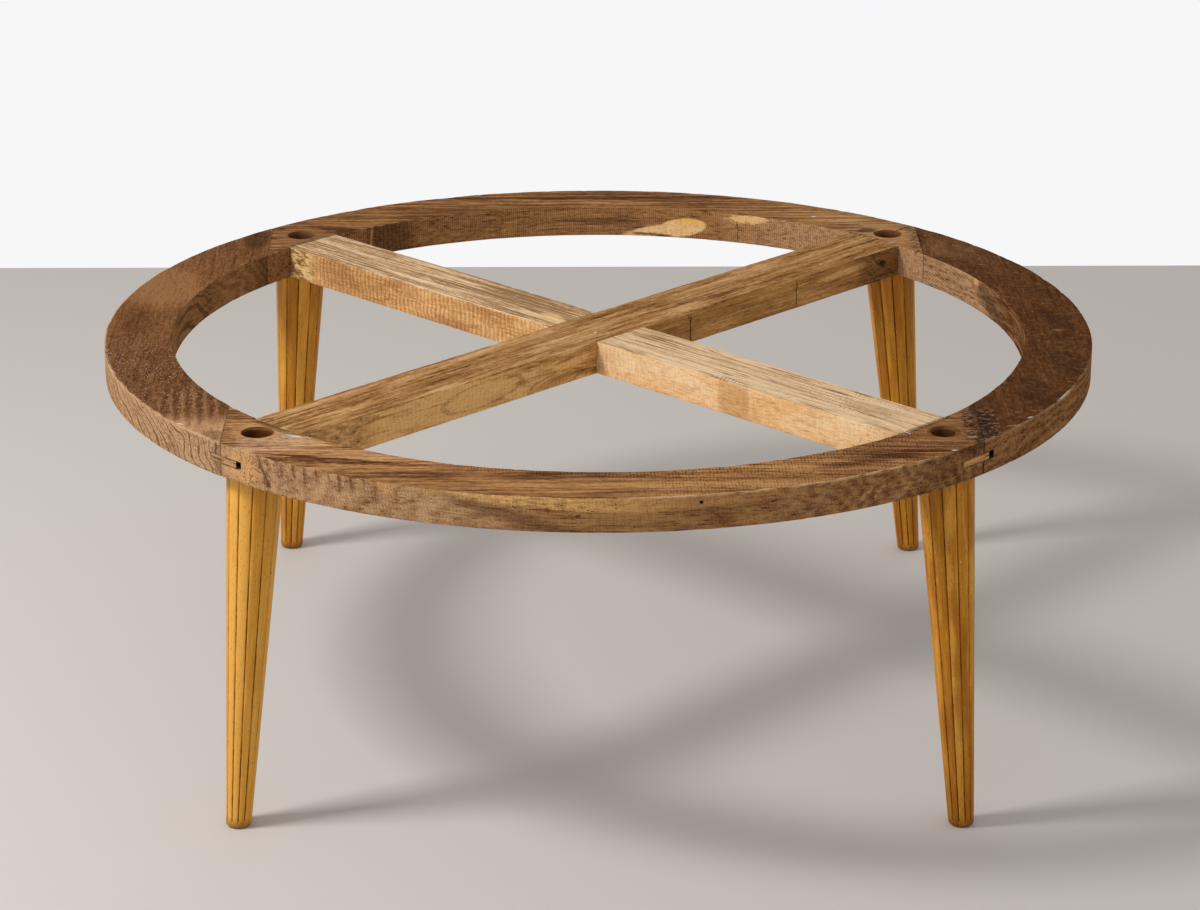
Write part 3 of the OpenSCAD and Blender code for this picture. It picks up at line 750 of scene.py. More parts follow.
def left_board(rim):
    """The left board: dark red brown, lighter at its back, with a pale outer face and curved dark lines."""
    m = Board("left", rim, (-575, 285), 8.5, 9.2)
    x, y, z, run = m.x, m.y, m.z, m.run
    m.lighten(m.top * m.calm(0.18, 0.22, 0.14, 0.6))
    m.lighten(m.top * (0.1 * m.ease(y, -180, 40) + 0.06 * m.ease(y, -150, -330)))
    m.lighten(m.inner * ((0.5 - m.streak) * 0.2 + (0.5 - m.cloud) * 0.14 + 0.14))
    m.lighten(m.top * m.patch(x, y, (-452, 128), (42, 62), 12, 0.4, m.mottle, 0.3) * 0.18)
    m.lighten(m.top * m.patch(x, y, (-470, 20), (20, 42), 0, 0.7, m.mottle, 0.6) * -0.1)
    m.lighten(m.outer * 0.2)
    m.shade = m.three(rim.red_dark, rim.red, rim.red_light)
    warm = m.three(rim.brown_dark, rim.brown, rim.brown_light)
    pale = m.three(rim.tan_dark, rim.tan, rim.tan_light)
    m.lay(warm, m.top * 0.1 + m.inner * 0.75)
    m.lay(pale, m.outer * 0.9 + m.top * m.ease(y + (m.crisp - 0.5) * 40, -262, -306) * 0.8)
    # curved dark lines that slant down to the right on the outer face
    m.lay(rim.brown_dark, m.late * m.outer * m.ease(run, -40, 120) * 0.7)
    m.saw_lines(3.1, m.outer, 0.3, 0.1)
    # light and dark stripes near the front left corner
    stripes = m.sine((x + (y + 240) * 0.1) / 11 + m.mottle * 0.9 + m.crisp * 0.6)
    front_end = m.top * m.patch(x, y, (-392, -255), (34, 62), -10, 0.4, m.mottle, 0.5)
    m.lay(rim.tan, front_end * m.ease(stripes + (m.crisp - 0.5) * 0.9, 0.6, 1) * 0.34)
    m.lay(rim.red_dark, front_end * m.ease(stripes, 0.35, 0.05) * 0.3)
    # the swoosh on the inner face
    m.lay(rim.red_dark, m.inner * m.ease(m.wave, 0.55, 0.9) * m.stripe(y, 20, 150, 25) * 0.6)
    m.lay(rim.tan, m.inner * m.ease(m.wave, 0.3, 0.05) * m.stripe(y, -20, 110, 25) * 0.45)
    m.saw_lines(2.9, m.inner, 0.5)
    m.lay(rim.stain, m.inner * m.ease(y, 205, 250) * (0.25 + m.mottle * 0.5))
    scratch(m, m.top * m.ease(y, 60, -60), 0.3)
    # knots at the joints, and specks of dust
    m.lay(rim.stain, m.top * m.patch(x, y, (-371, 308), (13, 34), 0, 0.3, m.grit, 0.9) * 0.62)
    m.lay(rim.stain, m.top * m.patch(x, y, (-364, -330), (10, 16), 20, 0.4, m.mottle, 0.9) * 0.4)
    m.specks(m.top * m.stripe(y, -250, -40, 40), 0.675, 1.7, 3)
    m.specks(m.outer * m.ease(run, 60, 200), 0.7, 1.8, 5)
    m.lay(rim.dust, m.patch(x, y, (-398, -298), (4.5, 1.1), -30, 0.3, m.mottle, 1) * m.top * 0.8)
    m.lay(rim.stain, m.patch(run, z, (386, 372), (8, 14), 0, 0.4, m.mottle, 1) * m.outer * 0.35)
    m.joints()
    # the pale outer top edge: worn wood with a painted highlight
    m.worn_edge(m.ease(run, -250, 0), 0.55, rim.tan_light)
    return m.sawn(0.5, 0.58, 0.84)


def right_board(rim):
    """The right board: nearly black brown with scratches, a pale inner face and a dull outer one."""
    m = Board("right", rim, (430, 90), 9, 13.7)
    x, y, z, run = m.x, m.y, m.z, m.run
    m.lighten(m.top * m.calm(0.18, 0.26, 0.16, 0.7))
    m.lighten(m.top * (0.08 * m.ease(y, 150, 300) - 0.01))
    m.lighten(m.inner * 0.12 * m.ease(y, 80, 190) + m.outer * 0.08)
    m.shade = m.three(rim.red_dark, rim.red, rim.red_light)
    warm = m.three(rim.brown_dark, rim.brown, rim.brown_light)
    pale = m.three(rim.tan_dark, rim.tan, rim.tan_light)
    m.lay(warm, m.outer * 0.8 + m.inner * 0.5 * m.ease(y, 110, 0))
    m.lay(pale, m.inner * m.ease(y, 60, 150) * 0.8)
    m.lay(warm, m.top * m.patch(x, y, (395, 252), (34, 24), -50, 0.7, m.mottle, 0.9) * 0.55)
    m.saw_lines(2.7, m.outer, 0.45)
    m.saw_lines(4.6, m.inner, 0.3 + m.ease(y, 170, 200) * 0.35, 1.1)
    # dark smears on the inner face and on the top
    m.lay(rim.red_dark, m.inner * m.patch(y, z, (128, 372), (26, 10), 25, 0.6, m.mottle, 1.2) * 0.6)
    m.lay(rim.gold, m.inner * m.patch(y, z, (156, 385), (5, 4), 0, 0.5, m.mottle, 1) * 0.7)
    m.lay(rim.stain, m.top * m.grains(m.spot, (45, 70, 30), 4, 0.6, 7, 0.48, 0.62) * 0.42)
    scratch(m, m.top, 0.55)
    # the knotty dark end at the front joint and the knots at the back joint
    end = m.ease(x + (m.grit - 0.5) * 8, 377, 371) * m.stripe(y, -352, -264, 5)
    m.lay(m.knotty, end * m.top * 0.8)
    knot = m.grains(m.spot, 6.5, 3, 0.65, 12, 0.42, 0.56)
    m.lay(rim.stain, end * m.top * knot * 0.85)
    m.lay(rim.stain, m.patch(x, y, (358, -304), (9, 36), 0, 0.6, m.mottle, 1.6) * m.top * 0.62)
    m.lay(rim.gold, m.stroke(x, y, (380, -312), (404, -304), 1.2, m.mottle, 5) * m.top * 0.45)
    m.lay(rim.stain, m.patch(x, y, (352, 305), (10, 24), 0, 0.4, m.grit, 0.9) * m.top * knot * 0.9)
    # chips of white paint along the outer edge
    m.lay(rim.dust, m.outer_arris * m.patch(run, z, (-230, 388), (16, 3), 0, 0.3, m.grit, 1.6) * 0.7)
    m.lay(rim.dust, m.patch(x, y, (406, -286), (3.4, 1.3), 40, 0.3, m.grit, 1) * m.top * 0.7)
    m.specks(m.top, 0.76, 2.2, 9)
    m.joints()
    # the pale outer top edge: worn wood with a painted highlight
    m.worn_edge(m.ease(run, -60, -200), 0.35, rim.tan_light)
    return m.sawn(0.45, 0.56, 0.82)


def scratch(m, where, amount):
    """Fine light scratches that a saw left across the side boards, in straight groups."""
    fine = m.noise(m.spot, (24, 3, 6), 2, 0.55, 19)
    group = m.grains(m.spot, (30, 22, 20), 2, 0.5, 21, 0.44, 0.62)
    line = m.ease(fine, 0.62, 0.68) * group * where
    m.lay(m.rim.brown_light, line * amount)
    m.lift(line * -0.05)


class Bar(Timber):
    """The finish of one stretcher. Its grain runs along u and v runs across it, from the rim's centre."""

    def __init__(self, name, bars, axes, pith, gap, shift):
        super().__init__(name, axes, pith, gap, shift)
        self.bars = bars
        self.near = self.wall * self.ease(self.v, -28, -31)

    @staticmethod
    def to_back_right(m):
        """Grain along the long stretcher."""
        return (m.x + m.y) * math.sqrt(0.5), (m.y - m.x) * math.sqrt(0.5)

    @staticmethod
    def to_front_right(m):
        """Grain along the cross stretcher."""
        return (m.x - m.y) * math.sqrt(0.5), (m.x + m.y) * math.sqrt(0.5)

    def saw_ribs(self, gap, where, amount):
        """Marks of a band saw across the sides: ribs that fade towards the right."""
        drift = self.noise(self.vector(self.u, self.v, self.z), (40, 40, 14), 2, 0.5, 41)
        rib = self.sine(self.u / gap + drift * 1.5) * self.ease(self.u, 190, -160) * where
        self.lay((0.5, 0.4, 0.32), rib * amount, "MULTIPLY")
        self.lift(rib * -0.18)

    def torn(self, low, high, share, shade):
        """Torn pale fibres on the near side, where a blade broke the wood out between two places."""
        tear = self.noise(self.vector(self.u + self.z * 0.9, self.z, 0), (11, 4.6, 9), 4, 0.74, 51)
        where = self.stripe(self.u, low, high, 14) * self.near
        self.lay(self.bars.oak, where * 0.55)
        self.lay(shade, self.ease(tear, share, share + 0.08) * where * 0.9)
        self.lay(self.bars.oak_dark, self.ease(tear, share - 0.05, share - 0.14) * where * 0.7)
        self.lift(self.ease(tear, share, share + 0.1) * where * 0.35)


def long_bar(bars):
    """The long stretcher: brown streaks on its top, and honey sides with a pale figure and some cracks."""
    m = Bar("long stretcher", bars, Bar.to_back_right, (210, 350), 6.5, 3.7)
    u, v, z = m.u, m.v, m.z
    pale_run = m.noise(m.grain, (75, 8, 8), 2, 0.5, 5)
    m.lighten(m.top * m.patch(u, v, (0, 10), (120, 60), 0, 0.8) * 0.07)
    # painted shade on the near side towards its back right end, at the corner with the rim
    m.lighten(m.near * m.ease(u, 330, 390) * -0.25)
    m.lighten(m.top * (m.ease(pale_run, 0.42, 0.66) * 0.18 + (0.5 - m.wave) * 0.13 - 0.06 - m.lines * 0.4))
    m.shade = m.three(bars.oak_dark, bars.oak, bars.oak_light)
    # long dark streaks near the front edge of the top, and short ones beside the lap
    wander = m.noise(m.vector(u, 0, 0), 60, 1, 0.5, 13)
    far_streak = m.stroke(u, v, (36, -7), (300, -25), 1.5, wander, 14)
    m.lay(bars.oak_dark, far_streak * m.top * m.ease(m.fibre, 0.15, 0.55) * 0.85)
    m.lay(bars.oak_dark, m.stroke(u, v, (120, -20), (335, -27), 0.9, wander, 9) * m.top * 0.6)
    m.lay(bars.oak_dark, m.stroke(u, v, (-330, 12), (-90, 4), 0.9, wander, 12) * m.top * 0.4)
    m.lay(bars.stain, m.stroke(u, v, (12, 22), (23, 8), 0.8, wander, 2) * m.top * 0.7)
    m.lay(bars.stain, m.stroke(u, v, (-43, 25), (-39, 13), 0.7, wander, 2) * m.top * 0.6)
    m.lay(bars.stain, m.stroke(u, v, (-153, -21), (-103, -23), 0.8, wander, 3) * m.top * 0.6)
    m.lay(bars.straw_light, m.patch(u, v, (-20, -15), (2.6, 1.5), 10, 0.2) * m.top * 0.8)
    ends = m.top * m.ease(abs(u), 395, 425)
    m.lay(bars.oak_dark, ends * m.ease(m.mottle, 0.45, 0.62) * 0.45)
    # the sides: a pale figure at the front left, darker and plainer towards the back right
    plain = m.ease(u, -40, 60)
    figure = m.wave * (0.4 - plain * 0.26) + m.cloud * (0.3 - plain * 0.18) + m.streak * 0.22
    figure = figure + m.fibre * 0.16 + plain * 0.2 + (m.crisp - 0.5) * 0.8 + m.ease(u, 20, -170) * 0.57
    swirl = m.noise(m.vector(u + z * 1.4, m.v, z), (38, 9, 8), 3, 0.66, 23)
    figure = figure + (swirl - 0.5) * m.ease(u, 20, -120) * 1.5 + m.lines
    stops = [(0.02, bars.oak_dark), (0.34, bars.oak), (0.58, bars.honey_side), (0.94, bars.honey_pale)]
    m.lay(m.ramp(figure, stops), m.wall)
    m.lay(bars.honey_pale, m.patch(u, z, (-200, 372), (46, 9), 2, 0.3, m.mottle, 0.5) * m.near * 0.75)
    m.lay(bars.honey_pale, m.patch(u, z, (-290, 366), (60, 10), -3, 0.5, m.mottle, 0.9) * m.near * 0.55)
    broken = m.near * m.ease(m.crisp, 0.36, 0.56)
    m.lay(bars.oak, m.outline(u, z, (-200, 372), (54, 12), 3, 0.12, m.mottle, 0.5) * broken * 0.55)
    m.lay(bars.oak, m.outline(u, z, (-100, 361), (36, 8), 4, 0.15, m.mottle, 0.5) * broken * 0.75)
    m.lay(bars.honey_side, m.patch(u, z, (-100, 361), (27, 5), 3, 0.4, m.mottle, 0.5) * m.near * 0.7)
    m.lay(bars.honey_pale, m.patch(u, z, (350, 378), (50, 3.6), 1, 0.4, m.mottle, 0.8) * m.near * 0.7)
    m.lay(bars.oak_dark, m.patch(u, z, (384, 364), (40, 5), 2, 0.5, m.mottle, 1.2) * m.near * 0.35)
    m.saw_ribs(5.4, m.wall, 0.16)
    # cracks in the near side
    jag = m.noise(m.vector(0, 0, z), 7, 2, 0.6, 17)
    m.lay(bars.stain, m.stroke(u, z, (98, 387), (98, 352), 0.9, jag, 7) * m.near * 0.85)
    m.lay(bars.stain, m.stroke(u, z, (93, 388), (98.5, 374), 0.7, jag, 5) * m.near * 0.75)
    m.lay(bars.stain, m.stroke(u, z, (263, 388), (263.5, 355), 0.8, jag, 8) * m.near * 0.8)
    m.torn(-445, -352, 0.49, bars.honey_pale)
    m.torn(372, 430, 0.56, bars.honey_side)
    # more painted shade on the near side towards its back right end
    m.lay(bars.oak_dark, m.near * m.ease(u, 345, 385) * 0.4)
    m.lay(bars.stain, m.patch(u, z, (404, 374), (5, 4), 0, 0.4, m.mottle, 0.7) * m.near * 0.8)
    return m.sawn(0.5, 0.56, 0.8)


def cross_bar(bars):
    """The cross stretcher: straw-coloured straight grain on its top, and freshly sawn ribs on its sides."""
    m = Bar("cross stretcher", bars, Bar.to_front_right, (-420, 640), 4.6, 8.1)
    u, v = m.u, m.v
    m.lighten(m.top * (m.ease(u, -420, -230) * 0.14 + m.ease(u, 20, 160) * 0.22 - 0.14 + m.lines))
    m.lighten(m.top * m.ease(u, 40, -60) * ((m.streak - 0.5) * 0.55 + (m.crisp - 0.5) * 0.5))
    m.lighten(m.top * m.patch(u, v, (-110, 6), (110, 26), 0, 0.6, m.streak, 0.8) * -0.34)
    m.lighten(m.top * m.ease(u, 300, 400) * -0.08)
    m.shade = m.three(bars.straw_dark, bars.straw, bars.straw_light)
    thin = m.noise(m.grain, (120, 1.5, 1.5), 2, 0.6, 33)
    m.lay(bars.straw_dark, m.ease(thin, 0.55, 0.64) * m.top * 0.85)
    m.lay(bars.straw_light, m.ease(thin, 0.45, 0.38) * m.top * 0.5)
    # thin dark lines along the top, and pale patches on it
    wander = m.noise(m.vector(u, 0, 0), 90, 1, 0.5, 13)
    m.lay(bars.straw_dark, m.stroke(u, v, (40, 14), (330, 14), 0.8, wander, 9) * m.top * 0.7)
    m.lay(bars.straw_dark, m.stroke(u, v, (70, 4), (400, 4), 0.7, wander, 8) * m.top * 0.6)
    m.lay(bars.straw_dark, m.stroke(u, v, (150, -8), (425, -9), 0.7, wander, 7) * m.top * 0.6)
    m.lay(bars.straw_dark, m.stroke(u, v, (-330, 6), (-70, 3), 0.7, wander, 8) * m.top * 0.45)
    m.lay(bars.fresh, m.patch(u, v, (-52, -13), (18, 7), -12, 0.4, m.mottle, 0.6) * m.top * 0.6)
    m.lay(bars.straw_light, m.patch(u, v, (411, -2), (20, 6), 0, 0.5, m.mottle, 0.8) * m.top * 0.7)
    # ticks that a blade left on the top
    slant = m.noise(m.grain, (3, 2, 2), 1, 0.5, 15)
    jitter = m.noise(m.grain, (14, 14, 14), 2, 0.5, 16) * 2.4
    tick = m.ease(m.sine((u + v * 0.35) / 4.6 + jitter) * 0.5 + slant * 0.9, 0.76, 1)
    places = m.stripe(u, 195, 238, 8) * m.ease(v, -29, -34) * 1.3
    patchy = m.grains(m.grain, (40, 9, 9), 2, 0.5, 18, 0.46, 0.62)
    places = places + m.stripe(u, 270, 400, 15) * m.stripe(v, -31, 24, 3) * patchy * 0.8
    m.lay((0.3, 0.22, 0.17), tick * m.least(places, 1) * m.top * 0.65, "MULTIPLY")
    # the sides: peach between ribs, strong ribs at the left and fine ones at the right
    fine = m.sine(u / 2.05 + m.noise(m.grain, (20, 20, 8), 1, 0.5, 19) * 1.4)
    side_tone = 0.46 + m.cloud * 0.3 + m.fibre * 0.1 - m.ease(u, 60, -180) * 0.26 + (m.mottle - 0.5) * 0.3
    side_tone = side_tone - fine * 0.12 + m.streak * 0.12 + (m.crisp - 0.5) * 0.8 + m.lines * 0.7
    peach = m.ramp(side_tone, [(0.22, bars.peach_dark), (0.52, bars.peach), (0.86, bars.pale)])
    m.lay(peach, m.wall)
    blot = m.grains(m.grain, (24, 24, 12), 3, 0.6, 34, 0.5, 0.66)
    m.lay(bars.peach_dark, blot * m.wall * (0.2 + m.ease(u, 0, -120) * 0.25))
    upright = m.grains(m.grain, (1.3, 9, 26), 2, 0.6, 35, 0.5, 0.64)
    m.lay(bars.peach_dark, upright * m.wall * (0.2 + m.ease(u, 0, -120) * 0.3))
    m.saw_ribs(6.1, m.wall, 0.62)
    block = m.stripe(u, 203, 243, 2) * m.near
    m.lay(bars.peach_dark, block * 0.36)
    hairs = m.edge_curls(m.grain, (60, 30, 5), 0.012, 22)
    m.lay(bars.peach_dark, hairs * m.wall * 0.45)
    dots = m.grains(m.spot, 1.7, 1, 0.5, 27, 0.66, 0.72)
    m.lay(bars.stain, dots * m.near * m.stripe(u, 372, 432, 10) * 0.75)
    m.lay(bars.oak_dark, m.near * m.ease(u, -396, -412) * 0.55)
    m.torn(-434, -392, 0.45, bars.fresh)
    m.lay(bars.stain, m.ease(abs(u) + (m.crisp - 0.5) * 5, 429, 431.5) * m.top * 0.6)
    return m.sawn(0.34, 0.58, 0.82)


def varnish(name, legs, look):
    """The varnished wood of a leg, with old dark varnish in its grooves. The tenon above it is bare."""
    tone, red, chips, seed = look
    m = Finish(name)
    local = m.vector_math("MULTIPLY", m.attribute("leg_place", "Vector"), (1000, 1000, 1000))
    groove = m.attribute("groove", "Fac")
    reed = m.attribute("reed", "Fac")
    down = m.split(local)[2]
    streak = m.noise(local, (3, 3, 120), 3, 0.6, seed)
    fibre = m.noise(local, (0.8, 0.8, 14), 2, 0.6, seed + 4)
    cloud = m.noise(local, (20, 20, 60), 2, 0.5, seed + 8)
    grit = m.noise(local, 1.1, 2, 0.6, seed + 9)
    value = streak * 0.42 + fibre * 0.22 + cloud * 0.26 + (reed - 0.5) * 0.24 + grit * 0.1 + tone
    m.shade = m.ramp(value, [(0.26, legs.honey_dark), (0.5, legs.honey), (0.76, legs.honey_light)])
    m.lay(legs.red, m.grains(local, (14, 14, 90), 2, 0.5, seed + 10, 0.46, 0.62) * red)
    rubbed = m.grains(local, (4, 4, 26), 3, 0.65, seed + 11, 0.58, 0.72)
    m.lay(legs.honey_light, rubbed * 0.35)
    ragged = m.noise(local, (1.3, 1.3, 6), 2, 0.65, seed + 12)
    faint = m.grains(local, (9, 9, 45), 2, 0.6, seed + 15, 0.36, 0.6)
    dark = m.ease(groove + (ragged - 0.5) * 1.1, 0.34, 0.8) * (0.2 + faint * 0.8)
    m.lay(legs.groove, dark * 0.9)
    pore = m.grains(local, (0.9, 0.9, 7), 2, 0.6, seed + 16, 0.57, 0.66)
    m.lay(legs.red, pore * (0.2 + red * 0.4) + m.ease(down, 200, 340) * red * 0.25)
    specks = m.grains(local, (1.3, 1.3, 2.2), 1, 0.5, seed + 13, 0.68, 0.74)
    m.lay(legs.groove, specks * 0.6)
    chip = m.grains(local, (1.5, 1.5, 2.6), 2, 0.6, seed + 14, 0.71 - chips, 0.75 - chips)
    m.lay((0.78, 0.7, 0.55), chip * m.stripe(down, 100, 165, 20) * 0.75)
    m.lay(legs.groove, m.ease(down, 379, 389) * 0.55)
    # painted shade on each leg just under the rim
    m.lay(legs.groove, m.ease(down, 44, 33) * 0.3)
    bare = m.ease(down, 33, 31.5)
    m.lay(m.ramp(streak, [(0.3, legs.end_dark), (0.7, legs.end_light)]), bare)
    m.lift(fibre * 0.06 + grit * 0.05 - dark * 0.12 - chip * 0.08)
    return m.finish(0.34 + fibre * 0.16 + dark * 0.28 + bare * 0.2, Specular_IOR_Level=0.1)


def steel(name, staples):
    """Bare steel wire with some tarnish."""
    m = Finish(name)
    tarnish = m.noise(m.place(), 1.4, 3, 0.6, 2)
    m.shade = m.ramp(tarnish, [(0.32, staples.tarnish), (0.62, staples.steel)])
    m.lift(tarnish * 0.05)
    return m.finish(m.scale(tarnish, 0.3, 0.7, 0.45, 0.24), Metallic=1)


def dowel_wood(name, bars):
    """Pale beech of the dowels, with its flecks."""
    m = Finish(name)
    fleck = m.noise(m.place(), (2, 2, 0.5), 3, 0.6, 1)
    m.shade = m.ramp(fleck, [(0.32, bars.oak), (0.48, bars.dowel_pale), (0.8, bars.straw_light)])
    m.lift(fleck * 0.05)
    return m.finish(0.7, Specular_IOR_Level=0.2)


def tongue_wood(name, rim, pale):
    """The wood of a loose tongue, whose fibres run across the joint."""
    m = Timber(name, Board.along_x, (300, 330), 3.4, 6.6)
    m.shade = m.three(rim.brown_dark, rim.brown, rim.tongue)
    line = m.noise(m.vector(m.x, 0, m.z), (16, 1, 1.6), 3, 0.6, 3)
    middle = m.ease(abs(m.z - 372 + (line - 0.5) * 3), 3.8, 1.6)
    m.lay(pale, middle * m.ease(line, 0.34, 0.52) * 0.8)
    m.lay(rim.stain, m.ease(line, 0.42, 0.34) * 0.55)
    m.pore_marks(0.4)
    return m.finish(0.75, Specular_IOR_Level=0)


def hashed(i, j, k, seed):
    """A repeatable value from 0 to 1 for each corner of a lattice."""
    n = (i * 73856093) ^ (j * 19349663) ^ (k * 83492791) ^ (seed * 25214903)
    n = n & 0xFFFFFFFF
    n = ((n ^ (n >> 15)) * 739982445) & 0xFFFFFFFF
    n = ((n ^ (n >> 12)) * 695872825) & 0xFFFFFFFF
    n = n ^ (n >> 15)
    return n / 4294967295.0


def rough(points, size, seed):
    """Smooth noise from -1 to 1 with bumps about as wide as size, at an array of points."""
    p = np.asarray(points) / np.asarray(size)
    corner = np.floor(p).astype(np.int64)
    f = p - corner
    f = f * f * (3 - 2 * f)
    total = np.zeros(p.shape[:-1])
    for dx in (0, 1):
        for dy in (0, 1):
            for dz in (0, 1):
                wx = f[..., 0] if dx else 1 - f[..., 0]
                wy = f[..., 1] if dy else 1 - f[..., 1]
                wz = f[..., 2] if dz else 1 - f[..., 2]
                value = hashed(corner[..., 0] + dx, corner[..., 1] + dy, corner[..., 2] + dz, seed)
                total += wx * wy * wz * value
    return total * 2 - 1


def uneven(points, size, seed):
    """Smooth noise from 0 to 1 at an array of points."""
    return 0.5 + 0.5 * rough(points, size, seed)


def step(value, low, high):
    """A smooth step from 0 to 1 on an array."""
    t = np.clip((value - low) / (high - low), 0, 1)
    return t * t * (3 - 2 * t)


def linked(name, mesh):
    """A new object in the scene."""
    obj = bpy.data.objects.new(name, mesh)
    bpy.context.scene.collection.objects.link(obj)
    return obj


def closed_mesh(name, rings):
    """A closed skin over rings of points, with a fan at each end, as a new object."""
    count, around = rings.shape[:2]
    start = rings[0].mean(axis=0)
    end = rings[-1].mean(axis=0)
    verts = np.vstack([rings.reshape(-1, 3), start, end])
    i = np.arange(count - 1)[:, None] * around
    j = np.arange(around)[None, :]
    k = (j + 1) % around
    quads = np.stack([i + j, i + k, i + around + k, i + around + j], axis=-1).reshape(-1, 4)
    faces = quads.tolist()
    last = (count - 1) * around
    first_pole = count * around
    for a in range(around):
        b = (a + 1) % around
        faces.append([first_pole, b, a])
        faces.append([first_pole + 1, last + a, last + b])
    mesh = bpy.data.meshes.new(name)
    mesh.from_pydata(verts.tolist(), [], faces)
    bm = bmesh.new()
    bm.from_mesh(mesh)
    bmesh.ops.remove_doubles(bm, verts=bm.verts, dist=1e-6)
    bmesh.ops.recalc_face_normals(bm, faces=bm.faces)
    bm.to_mesh(mesh)
    bm.free()
    return linked(name, mesh)


def from_bmesh(name, bm):
    """A new object with the shape that was put together in a bmesh."""
    mesh = bpy.data.meshes.new(name)
    bm.to_mesh(mesh)
    bm.free()
    return linked(name, mesh)


def capped(rings, shares, cap):
    """Adds smaller and smaller rings at both ends of a skin. Cap gives one, for an end and a share."""
    for share in shares:
        rings = [cap(0, share), *rings, cap(-1, share)]
    return np.array(rings)


def box_mesh(name, low, high, turn=0.0):
    """A box between two corners, turned about Z through the origin, as a cutting tool."""
    bm = bmesh.new()
    bmesh.ops.create_cube(bm, size=1.0)
    centre = (Vector(low) + Vector(high)) / 2
    size = Vector(high) - Vector(low)
    move = Matrix.Translation(centre) @ Matrix.Diagonal((*size, 1.0))
    bm.transform(Matrix.Rotation(math.radians(turn), 4, "Z") @ move)
    return from_bmesh(name, bm)


def settle(obj):
    """Turns what the modifiers make into the object's own plain mesh."""
    graph = bpy.context.evaluated_depsgraph_get()
    mesh = bpy.data.meshes.new_from_object(obj.evaluated_get(graph))
    mesh.name = obj.name
    old = obj.data
    obj.modifiers.clear()
    obj.data = mesh
    bpy.data.meshes.remove(old)
    return obj


def joined(name, parts):
    """Several tools as one, for one cut."""
    bm = bmesh.new()
    for part in parts:
        bm.from_mesh(part.data)
        bpy.data.objects.remove(part)
    return from_bmesh(name, bm)


def cut(obj, tools):
    """Takes the tools' shapes out of an object, one after the other, and removes the tools."""
    for tool in tools:
        modifier = obj.modifiers.new("cut", "BOOLEAN")
        modifier.operation = "DIFFERENCE"
        modifier.solver = "EXACT"
        modifier.object = tool
    settle(obj)
    for tool in tools:
        bpy.data.objects.remove(tool)
    return obj


def soften(obj, limit=35.0):
    """Shades a piece smoothly but for its sharp edges."""
    mesh = obj.data
    mesh.shade_smooth()
    mesh.set_sharp_from_angle(angle=math.radians(limit))
    return obj


def keep(obj, nodes, material=None):
    """Hides the CAD nodes that a finished piece stands for, hangs it under the root body, and gives it its
    finish.
    """
    if material is not None:
        obj.data.materials.clear()
        obj.data.materials.append(material)
    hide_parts(*nodes)
    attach(obj, "root")
    return obj


def worn_section(low, high, bottom, top, wear, steps):
    """Points around a section with worn corners, ring by ring.

    Wear holds the four corners' radii along the piece: low top, high top, high bottom, low bottom. It gives
    the across and height places, both (rings, points), and the outward direction of each point.
    """
    wide, tall, bends = steps
    across = []
    height = []
    out = []
    a, b, c, d = wear

    def face(x0, z0, x1, z1, count, normal):
        for n in range(count + 1):
            t = n / count
            across.append(x0 + (x1 - x0) * t)
            height.append(z0 + (z1 - z0) * t)
            out.append(normal)

    def corner(cx, cz, radius, first):
        for n in range(1, bends):
            turn = math.radians(first - 90.0 * n / bends)
            across.append(cx + radius * math.cos(turn))
            height.append(cz + radius * math.sin(turn))
            out.append((math.cos(turn), math.sin(turn)))

    face(low + a, top + 0 * a, high - b, top + 0 * b, wide, (0.0, 1.0))
    corner(high - b, top - b, b, 90.0)
    face(high + 0 * b, top - b, high + 0 * c, bottom + c, tall, (1.0, 0.0))
    corner(high - c, bottom + c, c, 0.0)
    face(high - c, bottom + 0 * c, low + d, bottom + 0 * d, wide // 2, (0.0, -1.0))
    corner(low + d, bottom + d, d, -90.0)
    face(low + 0 * d, bottom + d, low + 0 * a, top - a, tall, (-1.0, 0.0))
    corner(low + a, top - a, a, 180.0)
    return np.stack(across, axis=1), np.stack(height, axis=1), np.array(out)


def wear_along(run, base, seed, chips=0.0):
    """The radius of a worn edge along a piece, with some chips."""
    line = np.stack([run, run * 0, run * 0], axis=-1)
    slow = np.abs(rough(line, 0.041, seed))
    fine = rough(line, 0.0067, seed + 1)
    chip = step(rough(line, 0.011, seed + 2) + 0.35 * fine, 0.62, 0.95)
    return base * (0.55 + 1.0 * slow + 0.25 * fine) + chips * chip


def worn_edges(run, base, seed, chips):
    """The wear of the four edges along a board or a stretcher, of which the lower two are less worn."""
    wear = [wear_along(run + seed, base, seed + 5 * n, chips) for n in range(4)]
    return [wear[0], wear[1], wear[2] * 0.45, wear[3] * 0.45]


def polar(radius, turn, z):
    """Places in metres from distances to the table's middle line, directions and heights."""
    return np.stack([radius * np.cos(turn), radius * np.sin(turn), z], axis=-1)


def leg_slope(legs, turn):
    """The outward slope, the sideways lean and the sideways shift of the leg at one corner."""
    leans = {
        FRONT_RIGHT: legs.lean_front_right,
        BACK_RIGHT: legs.lean_back_right,
        BACK_LEFT: legs.lean_back_left,
        FRONT_LEFT: legs.lean_front_left,
    }
    slope = legs.splay_front if turn in (FRONT_LEFT, FRONT_RIGHT) else legs.splay_back
    return slope, leans[turn], legs.aside_front_right if turn == FRONT_RIGHT else 0.0


